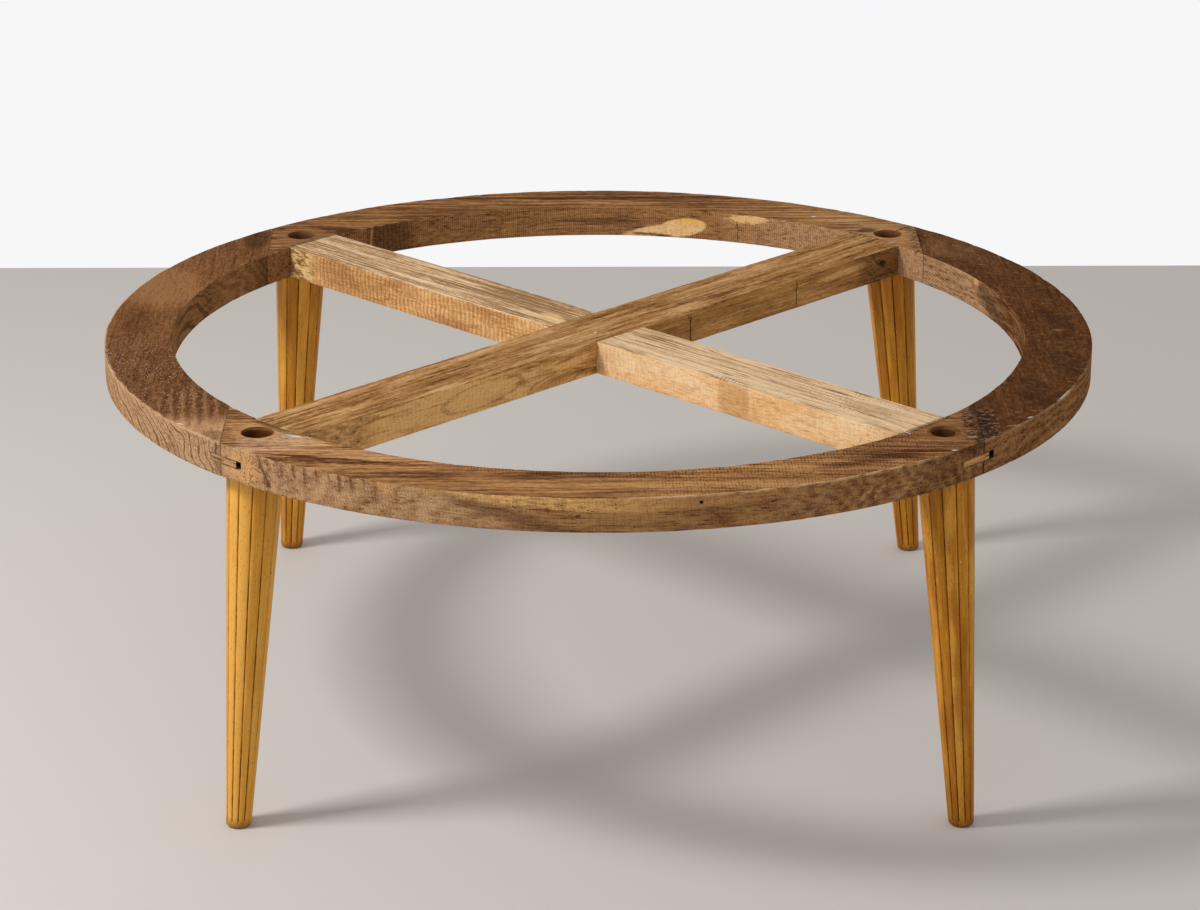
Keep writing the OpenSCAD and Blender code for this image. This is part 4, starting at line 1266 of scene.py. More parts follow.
def bore_tool(turn, rim, legs, seed, lip):
    """The tool for a leg's bore: a sloping hole with a worn mouth, which a torn lip may narrow along X."""
    levels = [-0.004, -0.0012, 0.0, 0.0008, 0.002, 0.004, 0.007, 0.012, 0.02, 0.03, 0.042]
    around = np.linspace(0, 2 * math.pi, 96, endpoint=False)
    slope, lean, aside = leg_slope(legs, turn)
    cos_s = math.cos(slope)
    sin_s = math.sin(slope)
    cos_l = math.cos(lean)
    sin_l = math.sin(lean)
    cos_t = math.cos(math.radians(turn))
    sin_t = math.sin(math.radians(turn))
    mouth_deep = 0.0018
    lip_deep = 0.01
    side = np.cos(around + math.radians(turn))
    lip_shape = lip * side ** 2 * (0.72 + 0.28 * side)
    rings = []
    for level in levels:
        line = np.stack([np.cos(around) * 0.015, np.sin(around) * 0.015, around * 0 + level], axis=-1)
        worn = max(0.0, 1.0 - max(level, 0.0) / mouth_deep)
        radius = rim.bore / 2 + worn * (0.0007 + 0.0005 * rough(line, 0.006, seed))
        radius = radius + 0.00012 * rough(line, (0.004, 0.004, 0.02), seed + 1)
        radius = radius - lip_shape * max(0.0, 1.0 - max(level, 0.0) / lip_deep)
        c = radius * np.cos(around)
        s = radius * np.sin(around)
        x = rim.bore_at + c * cos_s - s * sin_l * sin_s + level * cos_l * sin_s
        y = s * cos_l + level * sin_l + aside
        z = RIM_TOP + c * sin_s + s * sin_l * cos_s - level * cos_l * cos_s
        rings.append(np.stack([x * cos_t - y * sin_t, x * sin_t + y * cos_t, z], axis=-1))
    return closed_mesh("bore tool", np.array(rings))


def slot_start(side_x, rim):
    """Where in X a tongue's slot starts."""
    return JOINT_X - rim.slot_in if side_x > 0 else -JOINT_X - (rim.slot_wide - rim.slot_in)


def slot_tool(side_x, side_y, rim):
    """The tool for one tongue's slot, which goes equally deep everywhere from the outer face."""
    x = slot_start(side_x, rim) + np.linspace(0, rim.slot_wide, 25)
    near = side_y * np.sqrt((RIM_RADIUS - rim.slot_deep) ** 2 - x * x)
    far = side_y * np.sqrt((RIM_RADIUS + 0.005) ** 2 - x * x)
    low = x * 0 + MID_Z - rim.slot_high / 2
    high = x * 0 + MID_Z + rim.slot_high / 2
    corners = [(near, low), (far, low), (far, high), (near, high)]
    rings = np.stack([np.stack([x, y, z], axis=-1) for y, z in corners], axis=1)
    return closed_mesh("slot tool", rings)


def dowel_tools(turn, bars):
    """The tools for the two dowel holes at one end of a stretcher."""
    tools = []
    reach = bars.dowel_long / 2 + 0.001
    middle = bars.reach + bars.dowel_in - bars.dowel_long / 2
    radius = bars.dowel / 2 + 0.0001
    for side in (-1, 1):
        bm = bmesh.new()
        sizes = {"radius1": radius, "radius2": radius, "depth": 2 * reach}
        bmesh.ops.create_cone(bm, cap_ends=True, segments=32, **sizes)
        move = Matrix.Rotation(math.radians(turn), 4, "Z")
        move = move @ Matrix.Translation((middle, side * bars.dowel_pitch / 2, MID_Z))
        move = move @ Matrix.Rotation(math.pi / 2, 4, "Y")
        bm.transform(move)
        tools.append(from_bmesh("dowel tool", bm))
    return tools


def seat_tool(turn, bars, shift):
    """The tool for the flat seat behind one stretcher's end."""
    half = bars.width / 2 + 0.0002
    low = (0.3, shift - half, RIM_UNDER - 0.01)
    high = (bars.reach, shift + half, RIM_TOP + 0.01)
    return box_mesh("seat tool", low, high, turn)


def staple_places(staples):
    """Where the three staples are, and how they are turned, in radians."""
    places = []
    seams = (
        (FRONT_RIGHT, staples.front_off, staples.front_turn),
        (BACK_RIGHT, staples.back_off, staples.back_turn),
    )
    for corner, off, turn in seams:
        a = math.radians(corner)
        x = staples.seam * math.cos(a) - off * math.sin(a)
        y = staples.seam * math.sin(a) + off * math.cos(a)
        places.append((Vector((x, y, RIM_TOP)), a + turn))
    x = JOINT_X - staples.joint_off
    y = -math.sqrt((RIM_RADIUS - staples.joint_edge) ** 2 - x * x)
    places.append((Vector((x, y, RIM_TOP)), staples.joint_turn))
    return places


def staple_tools(staples):
    """The tools for the places that the staples take: the crowns' first, and then the prongs'.

    A prong's place reaches a little into its crown's, so they are two cuts, which leave one open hole.
    """
    crowns = []
    prongs = []
    gap = 0.0001
    wire = staples.wire
    side = wire / 2 + gap
    reach = staples.crown / 2 + gap
    for place, turn in staple_places(staples):
        deep = -staples.prong - gap
        parts = [
            (crowns, (-reach, -side, -wire - gap), (reach, side, 0.002)),
            (prongs, (-reach, -side, deep), (-reach + wire + 2 * gap, side, -wire)),
            (prongs, (reach - wire - 2 * gap, -side, deep), (reach, side, -wire)),
        ]
        for tools, low, high in parts:
            tool = box_mesh("staple tool", low, high)
            tool.data.transform(Matrix.Translation(place) @ Matrix.Rotation(turn, 4, "Z"))
            tools.append(tool)
    return [joined("crown tools", crowns), joined("prong tools", prongs)]


def rim_board(which, rim):
    """Builds one board of the rim: front, back, right or left."""
    side = which in ("right", "left")
    base = {"front": -90.0, "back": 90.0, "right": 0.0, "left": 180.0}[which]
    seed = {"front": 11, "back": 23, "right": 37, "left": 53}[which]
    inner = RIM_RADIUS - rim.width
    middle = RIM_RADIUS - rim.width / 2
    run = np.linspace(-1, 1, 560)
    arc = (math.pi / 4) * middle * run
    wear = worn_edges(arc, rim.wear, seed, 0.001)
    r, z, out = worn_section(inner, RIM_RADIUS, RIM_UNDER, RIM_TOP, wear, (24, 12, 3))

    def limit(radius):
        spread = np.arccos(JOINT_X / radius) if side else np.arcsin(JOINT_X / radius)
        return spread - rim.joint_gap / radius / np.sin(spread if side else math.pi / 2 - spread)

    def cap(pick, share):
        radius = middle + (r[pick] - middle) * share
        height = MID_Z + (z[pick] - MID_Z) * share
        return polar(radius, math.radians(base) + limit(radius) * run[pick], height)

    a = math.radians(base) + limit(r) * run[:, None]
    flat = polar(r, a, z)
    # saw marks, which run up the curved faces, small pits in these, and the unevenness of the top
    mark_gap = 0.0074
    pits = 0.00018
    dips = 0.00022
    walls = np.abs(out[:, 0])[None, :]
    beat = rough(flat, (0.06, 0.06, 0.012), seed + 31)
    marks = 0.5 + 0.5 * np.sin(a * RIM_RADIUS * (2 * math.pi / mark_gap) + 2.4 * beat)
    strong = step(rough(flat, (0.055, 0.055, 0.02), seed + 33), -0.35, 0.5)
    depth = rim.saw_depth * walls * marks * (0.25 + 0.75 * strong)
    depth = depth + pits * walls * uneven(flat, 0.004, seed + 35)
    depth = depth + np.abs(out[:, 1]) * dips * uneven(flat, (0.02, 0.02, 0.01), seed + 37)
    push = polar(out[:, 0], a, np.broadcast_to(out[:, 1], a.shape))
    rings = list(flat - push * depth[..., None])
    return closed_mesh("rim_board_" + which, capped(rings, (0.985, 0.75, 0.4, 0.1), cap))


def cut_board(obj, which, table):
    """Cuts the bores, slots, seats and small holes of one board of the rim."""
    rim = table.rim
    bars = table.stretchers
    if which in ("right", "left"):
        side = 1 if which == "right" else -1
        return cut(obj, [joined("slot tools", [slot_tool(side, -1, rim), slot_tool(side, 1, rim)])])
    side = -1 if which == "front" else 1
    corners = (FRONT_LEFT, FRONT_RIGHT) if side < 0 else (BACK_LEFT, BACK_RIGHT)
    first = [slot_tool(-1, side, rim), slot_tool(1, side, rim)]
    seats = []
    for turn in corners:
        lip = rim.lip if turn == FRONT_RIGHT else 0.0
        first.append(bore_tool(turn, rim, table.legs, 100 + turn, lip))
        first = first + dowel_tools(turn, bars)
        shift = bars.long_shift if turn in (FRONT_LEFT, BACK_RIGHT) else bars.cross_shift
        away = -shift if turn in (FRONT_LEFT, BACK_LEFT) else shift
        seats.append(seat_tool(turn, bars, away))
    tools = [joined("first tools", first), joined("seat tools", seats)]
    return cut(obj, tools + staple_tools(table.staples))


def stretcher(which, bars):
    """Builds one stretcher without its notch."""
    turn = BACK_RIGHT if which == "long" else FRONT_RIGHT
    shift = bars.long_shift if which == "long" else bars.cross_shift
    seed = 71 if which == "long" else 89
    run = np.linspace(-bars.reach, bars.reach, 620)
    wear = worn_edges(run, bars.wear, seed, 0.0011)
    half = bars.width / 2
    v, z, out = worn_section(-half, half, RIM_UNDER, RIM_TOP, wear, (24, 12, 3))
    u = np.broadcast_to(run[:, None], v.shape)
    place = np.stack([u, v, z], axis=-1)
    pits = 0.00016
    dips = 0.0002
    walls = np.abs(out[:, 0])[None, :]
    ribs = bars.saw_depth if which == "cross" else bars.saw_depth * 0.35
    beat = rough(place, (0.05, 0.05, 0.02), seed + 31)
    marks = 0.5 + 0.5 * np.sin(u * (2 * math.pi / bars.rib_gap) + 1.6 * beat)
    strong = step(rough(place, (0.09, 0.09, 0.05), seed + 33) - u / 0.6, -0.5, 0.5)
    depth = ribs * walls * marks * (0.15 + 0.85 * strong)
    depth = depth + pits * walls * uneven(place, 0.004, seed + 35)
    depth = depth + np.abs(out[:, 1]) * dips * uneven(place, (0.03, 0.012, 0.01), seed + 37)
    push = np.stack([v * 0, v * 0 + out[:, 0], v * 0 + out[:, 1]], axis=-1)
    middle = np.array([0.0, 0.0, MID_Z])

    def cap(pick, share):
        return middle + (place[pick] - middle) * np.array([1.0, share, share])

    rings = capped(list(place - push * depth[..., None]), (0.985, 0.7, 0.35, 0.1), cap)
    c = math.cos(math.radians(turn))
    s = math.sin(math.radians(turn))
    along = rings[..., 0]
    across = rings[..., 1] + shift
    world = np.stack([along * c - across * s, along * s + across * c, rings[..., 2]], axis=-1)
    return closed_mesh("stretcher_board_" + which, world)


def cut_stretcher(obj, which, table):
    """Cuts a stretcher's notch, dowel holes and staple places."""
    bars = table.stretchers
    half = bars.width / 2 + bars.lap_gap
    reach = 0.1
    if which == "long":
        other, shift = FRONT_RIGHT, bars.cross_shift
        bottom, top = RIM_UNDER - 0.01, MID_Z
        corners = (BACK_RIGHT, FRONT_LEFT)
    else:
        other, shift = BACK_RIGHT, bars.long_shift
        bottom, top = MID_Z, RIM_TOP + 0.01
        corners = (FRONT_RIGHT, BACK_LEFT)
    first = [box_mesh("notch tool", (-reach, shift - half, bottom), (reach, shift + half, top), other)]
    for turn in corners:
        first = first + dowel_tools(turn, bars)
    return cut(obj, [joined("first tools", first)] + staple_tools(table.staples))


def tongue(name, side_x, side_y, rim):
    """One loose tongue, sawn to the rim's outer curve with the boards."""
    start = slot_start(side_x, rim)
    bottom = MID_Z - rim.slot_high / 2
    top = bottom + rim.tongue_high
    gap = 0.0003
    back = RIM_RADIUS - rim.slot_deep + gap
    face = RIM_RADIUS - gap
    run = np.linspace(0, 1, 40)
    seed = 140 + 3 * side_x + side_y
    wear = [wear_along(run * 0.1 + seed, 0.0003, seed + n) for n in range(4)]
    x, z, _ = worn_section(start, start + rim.tongue_wide, bottom, top, wear, (16, 6, 3))
    centre = np.array([start + rim.tongue_wide / 2, (bottom + top) / 2])

    def cap(pick, share):
        cx = centre[0] + (x[pick] - centre[0]) * share
        cz = centre[1] + (z[pick] - centre[1]) * share
        cy = np.sqrt((face if pick else back) ** 2 - cx * cx)
        return np.stack([cx, side_y * cy, cz], axis=-1)

    near = np.sqrt(back ** 2 - x * x)
    far = np.sqrt(face ** 2 - x * x)
    y = side_y * (near + (far - near) * run[:, None])
    rings = list(np.stack([x, y, z], axis=-1))
    return closed_mesh(name, capped(rings, (0.9, 0.5, 0.1), cap))


def new_tree(name, numbers, counts=(), places=()):
    """A Geometry Nodes tree with named inputs and a material, and the sheet and wires to fill it with."""
    tree = bpy.data.node_groups.new(name, "GeometryNodeTree")
    tree.interface.new_socket("Geometry", in_out="OUTPUT", socket_type="NodeSocketGeometry")
    kinds = (("Float", numbers), ("Int", counts), ("Vector", places), ("Material", ("Material",)))
    for kind, labels in kinds:
        for label in labels:
            tree.interface.new_socket(label, in_out="INPUT", socket_type="NodeSocket" + kind)
    sheet = Sheet(tree)
    node = tree.nodes.new("NodeGroupInput")
    wires = {label: Wire(sheet, node.outputs[label]) for _, labels in kinds for label in labels}
    return tree, sheet, wires


def cylinder(g, around, along, across):
    """A cylinder of radius 1 and height 1, with its numbers of points around, along and across its ends."""
    sizes = {"Vertices": around, "Side Segments": along, "Fill Segments": across}
    sizes.update({"Radius": 1.0, "Depth": 1.0})
    return g.add("GeometryNodeMeshCylinder", {"fill_type": "TRIANGLE_FAN"}, sizes, "Mesh")


def moved(g, geometry, place):
    """Puts each point of a mesh at a worked-out place."""
    return g.add("GeometryNodeSetPosition", {}, {"Geometry": geometry, "Position": place})


def repeated(g, body, count, spots, turns):
    """Repeats a body at a number of places, with a turn at each."""
    points = g.add("GeometryNodePoints", {}, {"Count": count, "Position": spots})
    inputs = {"Points": points, "Instance": body, "Rotation": turns}
    return g.add("GeometryNodeInstanceOnPoints", {}, inputs)


def end_tree(sheet, geometry, material):
    """Ends a tree in real geometry with its material."""
    real = sheet.add("GeometryNodeRealizeInstances", {}, {0: geometry})
    dressed = sheet.add("GeometryNodeSetMaterial", {}, {"Geometry": real, "Material": material})
    node = sheet.tree.nodes.new("NodeGroupOutput")
    sheet.tree.links.new(dressed.socket, node.inputs[0])


def grow(name, tree, values):
    """Runs a tree with the given input values and keeps the result as a plain mesh."""
    obj = linked(name, bpy.data.meshes.new(name))
    modifier = obj.modifiers.new("nodes", "NODES")
    modifier.node_group = tree
    for item in tree.interface.items_tree:
        if item.in_out == "INPUT":
            modifier[item.identifier] = values[item.name]
    return settle(obj)


def store(g, geometry, name, value, kind="FLOAT"):
    """Keeps a value on a mesh's points, worked out from where the points are at this step."""
    inputs = {"Geometry": geometry, "Name": name, "Value": value}
    return g.add("GeometryNodeStoreNamedAttribute", {"data_type": kind, "domain": "POINT"}, inputs)


def leg_tree():
    """The rule of a fluted leg: a tapered, leaning shaft with grooves, a rounded foot and a tenon."""
    numbers = (
        "Rim top", "Rim under", "Bore distance", "Splay", "Lean", "Aside", "Direction", "Top radius",
        "Taper", "Foot rounding", "Groove turn", "Groove width", "Groove depth", "Groove stop", "Crown",
        "Tenon radius", "Tenon drop", "Seed",
    )
    tree, g, wire = new_tree("fluted leg", numbers, ("Grooves",))
    cos_s = g.math("COSINE", wire["Splay"])
    sin_s = g.math("SINE", wire["Splay"])
    cos_l = g.math("COSINE", wire["Lean"])
    sin_l = g.math("SINE", wire["Lean"])
    drop = cos_l * cos_s
    shoulder = (wire["Rim top"] - wire["Rim under"]) / drop

    def placed(c, s, down):
        """From a leg's own frame to the frame of the rim, at the direction +X."""
        x = c * cos_s - s * sin_l * sin_s + down * cos_l * sin_s + wire["Bore distance"]
        y = s * cos_l + down * sin_l + wire["Aside"]
        z = wire["Rim top"] + c * sin_s + s * sin_l * cos_s - down * drop
        return g.vector(x, y, z)

    shaft = cylinder(g, 288, 150, 6)
    at = g.split(g.add("GeometryNodeInputPosition"))
    count = wire["Grooves"]
    plain = g.math("ARCTAN2", at[1], at[0])
    phase = wire["Groove turn"] * (2 * math.pi)
    theta = plain - g.math("SINE", plain * count - phase) * 0.62 / count
    share = g.length_of(at[0], at[1])
    t = at[2] + 0.5
    height = wire["Rim under"] * (t * 0.4 + t * t * 0.6)
    c = g.math("COSINE", theta)
    s = g.math("SINE", theta)
    tip = c * sin_s + s * sin_l * cos_s
    down = wire["Rim top"] - height + (wire["Top radius"] + shoulder * wire["Taper"]) * tip
    down = down / (drop + wire["Taper"] * tip)
    radius = wire["Top radius"] - (down - shoulder) * wire["Taper"]
    foot = wire["Foot rounding"]
    rest = g.most(foot - height, 0.0)
    radius = radius - (foot - g.math("SQRT", g.most(foot * foot - rest * rest, 0.0)))
    # grooves with an uneven edge, and reeds that bulge between them
    turn = theta * count / (2 * math.pi) - wire["Groove turn"] + count * 4.0
    nearest = g.math("FLOOR", turn + 0.5)
    off = abs(turn - nearest)
    index = g.math("MODULO", nearest, count)
    uneven = g.vector(index * 3.7, down * 140.0, wire["Seed"])
    ragged = g.add("ShaderNodeTexNoise", {}, {"Vector": uneven, "Scale": 1.0, "Detail": 2.0})
    half = wire["Groove width"] * (0.5 + (ragged - 0.5) * 0.6)
    gap = off * (2 * math.pi) * radius / count
    low_end = wire["Groove stop"] + (ragged - 0.5) * 0.004
    runs = g.ease(height, low_end - 0.001, low_end + 0.0015)
    groove = g.ease(gap, half, 0.0) * runs
    hollow = wire["Crown"] * runs * (1.0 - g.least(off * 2.6, 1.0)) ** 2.0
    radius = radius - wire["Groove depth"] * groove - hollow
    reed = g.sine(g.math("MODULO", g.math("FLOOR", turn), count) * 0.37 + wire["Seed"] * 0.23)
    q = radius * share
    below = (wire["Rim top"] - height + q * tip) / drop
    shaft = store(g, shaft, "leg_place", g.vector(q * c, q * s, below), "FLOAT_VECTOR")
    shaft = store(g, shaft, "groove", groove)
    shaft = store(g, shaft, "reed", reed)
    shaft = moved(g, shaft, placed(q * c, q * s, below))
    # the tenon, whose end stays below the rim's top face
    tenon = cylinder(g, 72, 20, 8)
    ct = at[0] / g.most(share, 0.0001)
    st = at[1] / g.most(share, 0.0001)
    top_end = wire["Tenon drop"] / drop
    low_down = shoulder + 0.004
    depth = low_down + (top_end - low_down) * t
    worn = g.ease(depth, top_end + 0.0012, top_end) * 0.0008
    sawn = g.vector(at[0] * 2.0, at[1] * 9.0, wire["Seed"])
    sawn = g.add("ShaderNodeTexNoise", {}, {"Vector": sawn, "Scale": 1.0})
    depth = depth + g.ease(t, 0.98, 1.0) * sawn * 0.0008
    tq = (wire["Tenon radius"] - worn) * share
    tenon = store(g, tenon, "leg_place", g.vector(tq * ct, tq * st, depth), "FLOAT_VECTOR")
    tenon = moved(g, tenon, placed(tq * ct, tq * st, depth))
    both = g.add("GeometryNodeJoinGeometry", {}, {"Geometry": [shaft, tenon]})
    turn = g.vector(0.0, 0.0, wire["Direction"])
    end_tree(g, g.add("GeometryNodeTransform", {}, {"Geometry": both, "Rotation": turn}), wire["Material"])
    return tree


def dowel_tree():
    """The rule of the eight dowels: two at each corner, around the middle of the table."""
    tree, g, wire = new_tree("dowels", ("Radius", "Length", "Middle", "Pitch", "Height"), ("Count",))
    body = cylinder(g, 48, 24, 3)
    at = g.split(g.add("GeometryNodeInputPosition"))
    around = g.math("ARCTAN2", at[1], at[0])
    flute = g.sine(around * (12 / (2 * math.pi)) + at[2] * 1.5)
    end = g.ease(abs(at[2]), 0.47, 0.5)
    radius = wire["Radius"] * g.length_of(at[0], at[1]) * (1.0 - flute * 0.05) * (1.0 - end * 0.16)
    place = g.vector(
        at[2] * wire["Length"], radius * g.math("COSINE", around), radius * g.math("SINE", around)
    )
    body = moved(g, body, place)
    index = g.add("GeometryNodeInputIndex")
    corner = g.math("FLOOR", index / 2.0)
    side = (index - corner * 2.0) * 2.0 - 1.0
    turn = math.pi / 4 + corner * (math.pi / 2)
    cos_t = g.math("COSINE", turn)
    sin_t = g.math("SINE", turn)
    off = side * wire["Pitch"] * 0.5
    spot = g.vector(
        wire["Middle"] * cos_t - off * sin_t, wire["Middle"] * sin_t + off * cos_t, wire["Height"]
    )
    placed = repeated(g, body, wire["Count"], spot, g.vector(0.0, 0.0, turn))
    end_tree(g, placed, wire["Material"])
    return tree


def staple_tree(places):
    """The rule of a bent wire staple, and the places where it is repeated."""
    numbers = range(len(places))
    at_names = [f"Place {n + 1}" for n in numbers]
    turn_names = [f"Turn {n + 1}" for n in numbers]
    tree, g, wire = new_tree("staples", ["Crown", "Prong", "Wire", *turn_names], places=at_names)
    half = (wire["Crown"] - wire["Wire"]) / 2.0
    top = wire["Wire"] * -0.5
    line = g.add("GeometryNodeMeshLine", {}, {"Count": 4}, "Mesh")
    index = g.add("GeometryNodeInputIndex")
    bends = {
        "Index": index,
        "0": g.vector(-half, 0.0, -wire["Prong"]),
        "1": g.vector(-half, 0.0, top),
        "2": g.vector(half, 0.0, top),
        "3": g.vector(half, 0.0, -wire["Prong"]),
    }
    spot = g.add("GeometryNodeIndexSwitch", {"data_type": "VECTOR", "choices": 4}, bends)
    line = moved(g, line, spot)
    curve = g.add("GeometryNodeMeshToCurve", {}, {0: line})
    fillet = {"Curve": curve, "Count": 6, "Radius": wire["Wire"] * 0.9}
    curve = g.add("GeometryNodeFilletCurve", {"mode": "POLY"}, fillet)
    ring = g.add("GeometryNodeCurvePrimitiveCircle", {}, {"Resolution": 14, "Radius": wire["Wire"] * 0.5})
    body = g.add("GeometryNodeCurveToMesh", {}, {"Curve": curve, "Profile Curve": ring, "Fill Caps": True})
    at = {"Index": index}
    turns = {"Index": index}
    for n in numbers:
        at[str(n)] = wire[at_names[n]]
        turns[str(n)] = g.vector(0.0, 0.0, wire[turn_names[n]])
    switch = {"data_type": "VECTOR", "choices": len(places)}
    spots = g.add("GeometryNodeIndexSwitch", switch, at)
    turned = g.add("GeometryNodeIndexSwitch", switch, turns)
    end_tree(g, repeated(g, body, len(places), spots, turned), wire["Material"])
    return tree


def settings(context):
    """The settings that all operators share."""
    return context.scene.coffee_table


class COFFEETABLE_OT_stage(bpy.types.Operator):
    """Make the camera, the plain floor, the background and the soft lights"""

    bl_idname = "coffee_table.stage"
    bl_label = "Stage"

    def execute(self, context):
        stage = settings(context).stage
        scene = context.scene
        scene.view_settings.view_transform = "Standard"
        camera = bpy.data.cameras.new("camera")
        camera.lens = stage.lens
        camera.sensor_width = 36.0
        camera.clip_end = 60.0
        eye = bpy.data.objects.new("camera", camera)
        scene.collection.objects.link(eye)
        turn = Matrix.Rotation(-stage.yaw, 4, "Z")
        turn = turn @ Matrix.Rotation(math.pi / 2 - stage.pitch, 4, "X")
        turn = turn @ Matrix.Rotation(stage.roll, 4, "Z")
        eye.matrix_world = Matrix.Translation(stage.eye) @ turn
        scene.camera = eye
        self.floor(scene, stage)
        self.lights(scene, stage)
        return {"FINISHED"}

    def floor(self, scene, stage):
        """A plain floor that ends where the background starts."""
        mesh = bpy.data.meshes.new("floor")
        far = 9.0
        corners = [(-far, -far, 0), (far, -far, 0), (far, stage.floor_end, 0), (-far, stage.floor_end, 0)]
        mesh.from_pydata(corners, [], [(0, 1, 2, 3)])
        floor = bpy.data.objects.new("floor", mesh)
        scene.collection.objects.link(floor)
        material = bpy.data.materials.new("plain floor")
        material.use_nodes = True
        shader = material.node_tree.nodes["Principled BSDF"]
        shader.inputs["Base Color"].default_value = (*stage.floor, 1.0)
        shader.inputs["Roughness"].default_value = 0.8
        mesh.materials.append(material)

    def lights(self, scene, stage):
        """Even light from all sides, and one large soft lamp at the left."""
        world = bpy.data.worlds.new("studio")
        scene.world = world
        world.use_nodes = True
        tree = world.node_tree
        sheet = Sheet(tree)
        rays = tree.nodes.new("ShaderNodeLightPath")
        seen = Wire(sheet, rays.outputs["Is Camera Ray"]) + Wire(sheet, rays.outputs["Is Glossy Ray"])
        seen = sheet.least(seen + Wire(sheet, rays.outputs["Is Transmission Ray"]), 1.0)
        fill = sheet.add("ShaderNodeBackground", {}, {"Color": (1.0, 1.0, 1.0, 1.0), "Strength": stage.sky})
        back = sheet.add("ShaderNodeBackground", {}, {"Color": (*stage.wall, 1.0), "Strength": 1.0})
        both = sheet.add("ShaderNodeMixShader", {}, {0: seen, 1: fill, 2: back})
        tree.links.new(both.socket, tree.nodes["World Output"].inputs["Surface"])
        lamp = bpy.data.lights.new("key", "AREA")
        lamp.energy = stage.key
        lamp.size = stage.key_size
        key = bpy.data.objects.new("key", lamp)
        scene.collection.objects.link(key)
        flat = math.cos(stage.key_height)
        across = math.cos(stage.key_azimuth) * flat
        forward = math.sin(stage.key_azimuth) * flat
        away = Vector((across, forward, math.sin(stage.key_height)))
        key.location = Vector((0.0, 0.0, 0.3)) + away * stage.key_far
        key.rotation_euler = away.to_track_quat("Z", "Y").to_euler()


class COFFEETABLE_OT_rim(bpy.types.Operator):
    """Make the four sawn boards of the rim"""

    bl_idname = "coffee_table.rim"
    bl_label = "Rim boards"

    def execute(self, context):
        table = settings(context)
        finishes = {"front": front_board, "right": right_board, "back": back_board, "left": left_board}
        for which, finish in finishes.items():
            obj = soften(cut_board(rim_board(which, table.rim), which, table))
            keep(obj, ["ring_" + which], finish(table.rim))
        return {"FINISHED"}


class COFFEETABLE_OT_tongues(bpy.types.Operator):
    """Make the four loose tongues across the rim's joints"""

    bl_idname = "coffee_table.tongues"
    bl_label = "Tongues"

    def execute(self, context):
        rim = settings(context).rim
        yellow = tongue_wood("yellow tongue wood", rim, rim.gold)
        pink = tongue_wood("pink tongue wood", rim, rim.tan_light)
        for end, side_y in (("front", -1), ("back", 1)):
            for side, side_x in (("right", 1), ("left", -1)):
                obj = soften(tongue(f"tongue_board_{end}_{side}", side_x, side_y, rim))
                keep(obj, [f"tongue_{end}_{side}"], yellow if side_x > 0 else pink)
        return {"FINISHED"}


class COFFEETABLE_OT_stretchers(bpy.types.Operator):
    """Make the two halved stretchers"""

    bl_idname = "coffee_table.stretchers"
    bl_label = "Stretchers"

    def execute(self, context):
        table = settings(context)
        bars = table.stretchers
        for which, finish in (("long", long_bar), ("cross", cross_bar)):
            obj = soften(cut_stretcher(stretcher(which, bars), which, table))
            keep(obj, ["stretcher_" + which], finish(bars))
        return {"FINISHED"}


class COFFEETABLE_OT_legs(bpy.types.Operator):
    """Make the four fluted legs with Geometry Nodes"""

    bl_idname = "coffee_table.legs"
    bl_label = "Legs"

    def execute(self, context):
        table = settings(context)
        legs = table.legs
        tree = leg_tree()
        # for each leg: its corner, the turn of its grooves, and its tone, redness, share of chips and seed
        corners = (
            ("front_left", FRONT_LEFT, 0.5, (0.17, 0.1, 0.0, 1.0)),
            ("front_right", FRONT_RIGHT, 0.0, (-0.03, 0.62, 0.03, 2.0)),
            ("back_left", BACK_LEFT, 0.5, (0.03, 0.42, 0.0, 3.0)),
            ("back_right", BACK_RIGHT, 0.5, (-0.05, 0.45, 0.0, 4.0)),
        )
        for name, turn, groove_turn, look in corners:
            slope, lean, aside = leg_slope(legs, turn)
            down = math.cos(slope) * math.cos(lean)
            values = {
                "Rim top": RIM_TOP,
                "Rim under": RIM_UNDER,
                "Bore distance": table.rim.bore_at,
                "Splay": slope,
                "Lean": lean,
                "Aside": aside,
                "Direction": math.radians(turn),
                "Top radius": legs.top / 2,
                "Taper": (legs.top - legs.foot) / 2 / (RIM_UNDER / down),
                "Foot rounding": legs.foot_round,
                "Grooves": legs.grooves,
                "Groove turn": groove_turn,
                "Groove width": legs.groove_wide,
                "Groove depth": legs.groove_deep,
                "Groove stop": legs.groove_stop,
                "Crown": legs.crown,
                "Tenon radius": legs.tenon / 2,
                "Tenon drop": legs.tenon_drop,
                "Seed": look[3],
                "Material": varnish("varnish, " + name.replace("_", " "), legs, look),
            }
            obj = soften(grow("fluted_leg_" + name, tree, values), 50.0)
            keep(obj, ["leg_" + name])
        return {"FINISHED"}


class COFFEETABLE_OT_dowels(bpy.types.Operator):
    """Make the eight hidden dowels with Geometry Nodes"""

    bl_idname = "coffee_table.dowels"
    bl_label = "Dowels"

    def execute(self, context):
        bars = settings(context).stretchers
        values = {
            "Radius": bars.dowel / 2,
            "Length": bars.dowel_long,
            "Middle": bars.reach + bars.dowel_in - bars.dowel_long / 2,
            "Pitch": bars.dowel_pitch,
            "Height": MID_Z,
            "Count": 8,
            "Material": dowel_wood("dowel wood", bars),
        }
        keep(soften(grow("fluted_dowels", dowel_tree(), values)), ["dowels"])
        return {"FINISHED"}


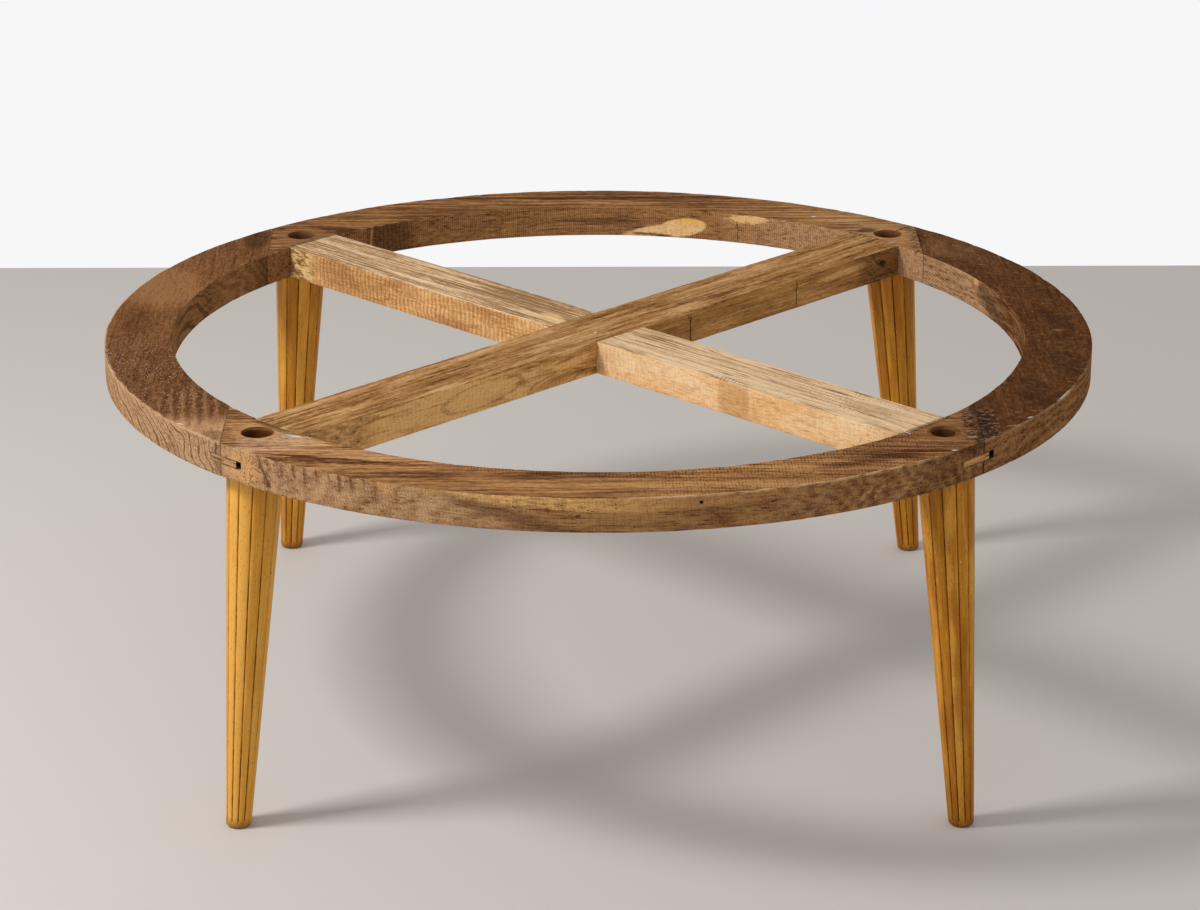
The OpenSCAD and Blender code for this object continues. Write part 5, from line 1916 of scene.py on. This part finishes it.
class COFFEETABLE_OT_staples(bpy.types.Operator):
    """Make the three wire staples with Geometry Nodes"""

    bl_idname = "coffee_table.staples"
    bl_label = "Staples"

    def execute(self, context):
        staples = settings(context).staples
        places = staple_places(staples)
        values = {
            "Crown": staples.crown,
            "Prong": staples.prong,
            "Wire": staples.wire,
            "Material": steel("steel wire", staples),
        }
        for n, (place, turn) in enumerate(places):
            values[f"Place {n + 1}"] = place
            values[f"Turn {n + 1}"] = turn
        keep(soften(grow("wire_staples", staple_tree(places), values), 60.0), ["staples"])
        return {"FINISHED"}


class COFFEETABLE_PT_panel(bpy.types.Panel):
    """Lists the steps in the sidebar of the 3D view"""

    bl_idname = "COFFEETABLE_PT_panel"
    bl_label = "Coffee table"
    bl_space_type = "VIEW_3D"
    bl_region_type = "UI"
    bl_category = "Coffee table"

    def draw(self, context):
        layout = self.layout
        for step_class in STEPS:
            layout.operator(step_class.bl_idname)
        table = settings(context)
        for group in (table.rim, table.stretchers, table.legs, table.staples, table.stage):
            box = layout.box()
            for name in group.__annotations__:
                box.prop(group, name)


STEPS = (
    COFFEETABLE_OT_stage,
    COFFEETABLE_OT_rim,
    COFFEETABLE_OT_tongues,
    COFFEETABLE_OT_stretchers,
    COFFEETABLE_OT_legs,
    COFFEETABLE_OT_dowels,
    COFFEETABLE_OT_staples,
)

CLASSES = (
    RimSettings,
    StretcherSettings,
    LegSettings,
    StapleSettings,
    StageSettings,
    TableSettings,
    *STEPS,
    COFFEETABLE_PT_panel,
)


def register():
    """Adds the classes and the settings to Blender."""
    for cls in CLASSES:
        bpy.utils.register_class(cls)
    bpy.types.Scene.coffee_table = PointerProperty(type=TableSettings)


def unregister():
    """Takes the classes and the settings out again."""
    del bpy.types.Scene.coffee_table
    for cls in reversed(CLASSES):
        bpy.utils.unregister_class(cls)


def main():
    """Runs every step in order."""
    register()
    bpy.ops.coffee_table.stage()
    bpy.ops.coffee_table.rim()
    bpy.ops.coffee_table.tongues()
    bpy.ops.coffee_table.stretchers()
    bpy.ops.coffee_table.legs()
    bpy.ops.coffee_table.dowels()
    bpy.ops.coffee_table.staples()


if __name__ == "__main__":
    main()
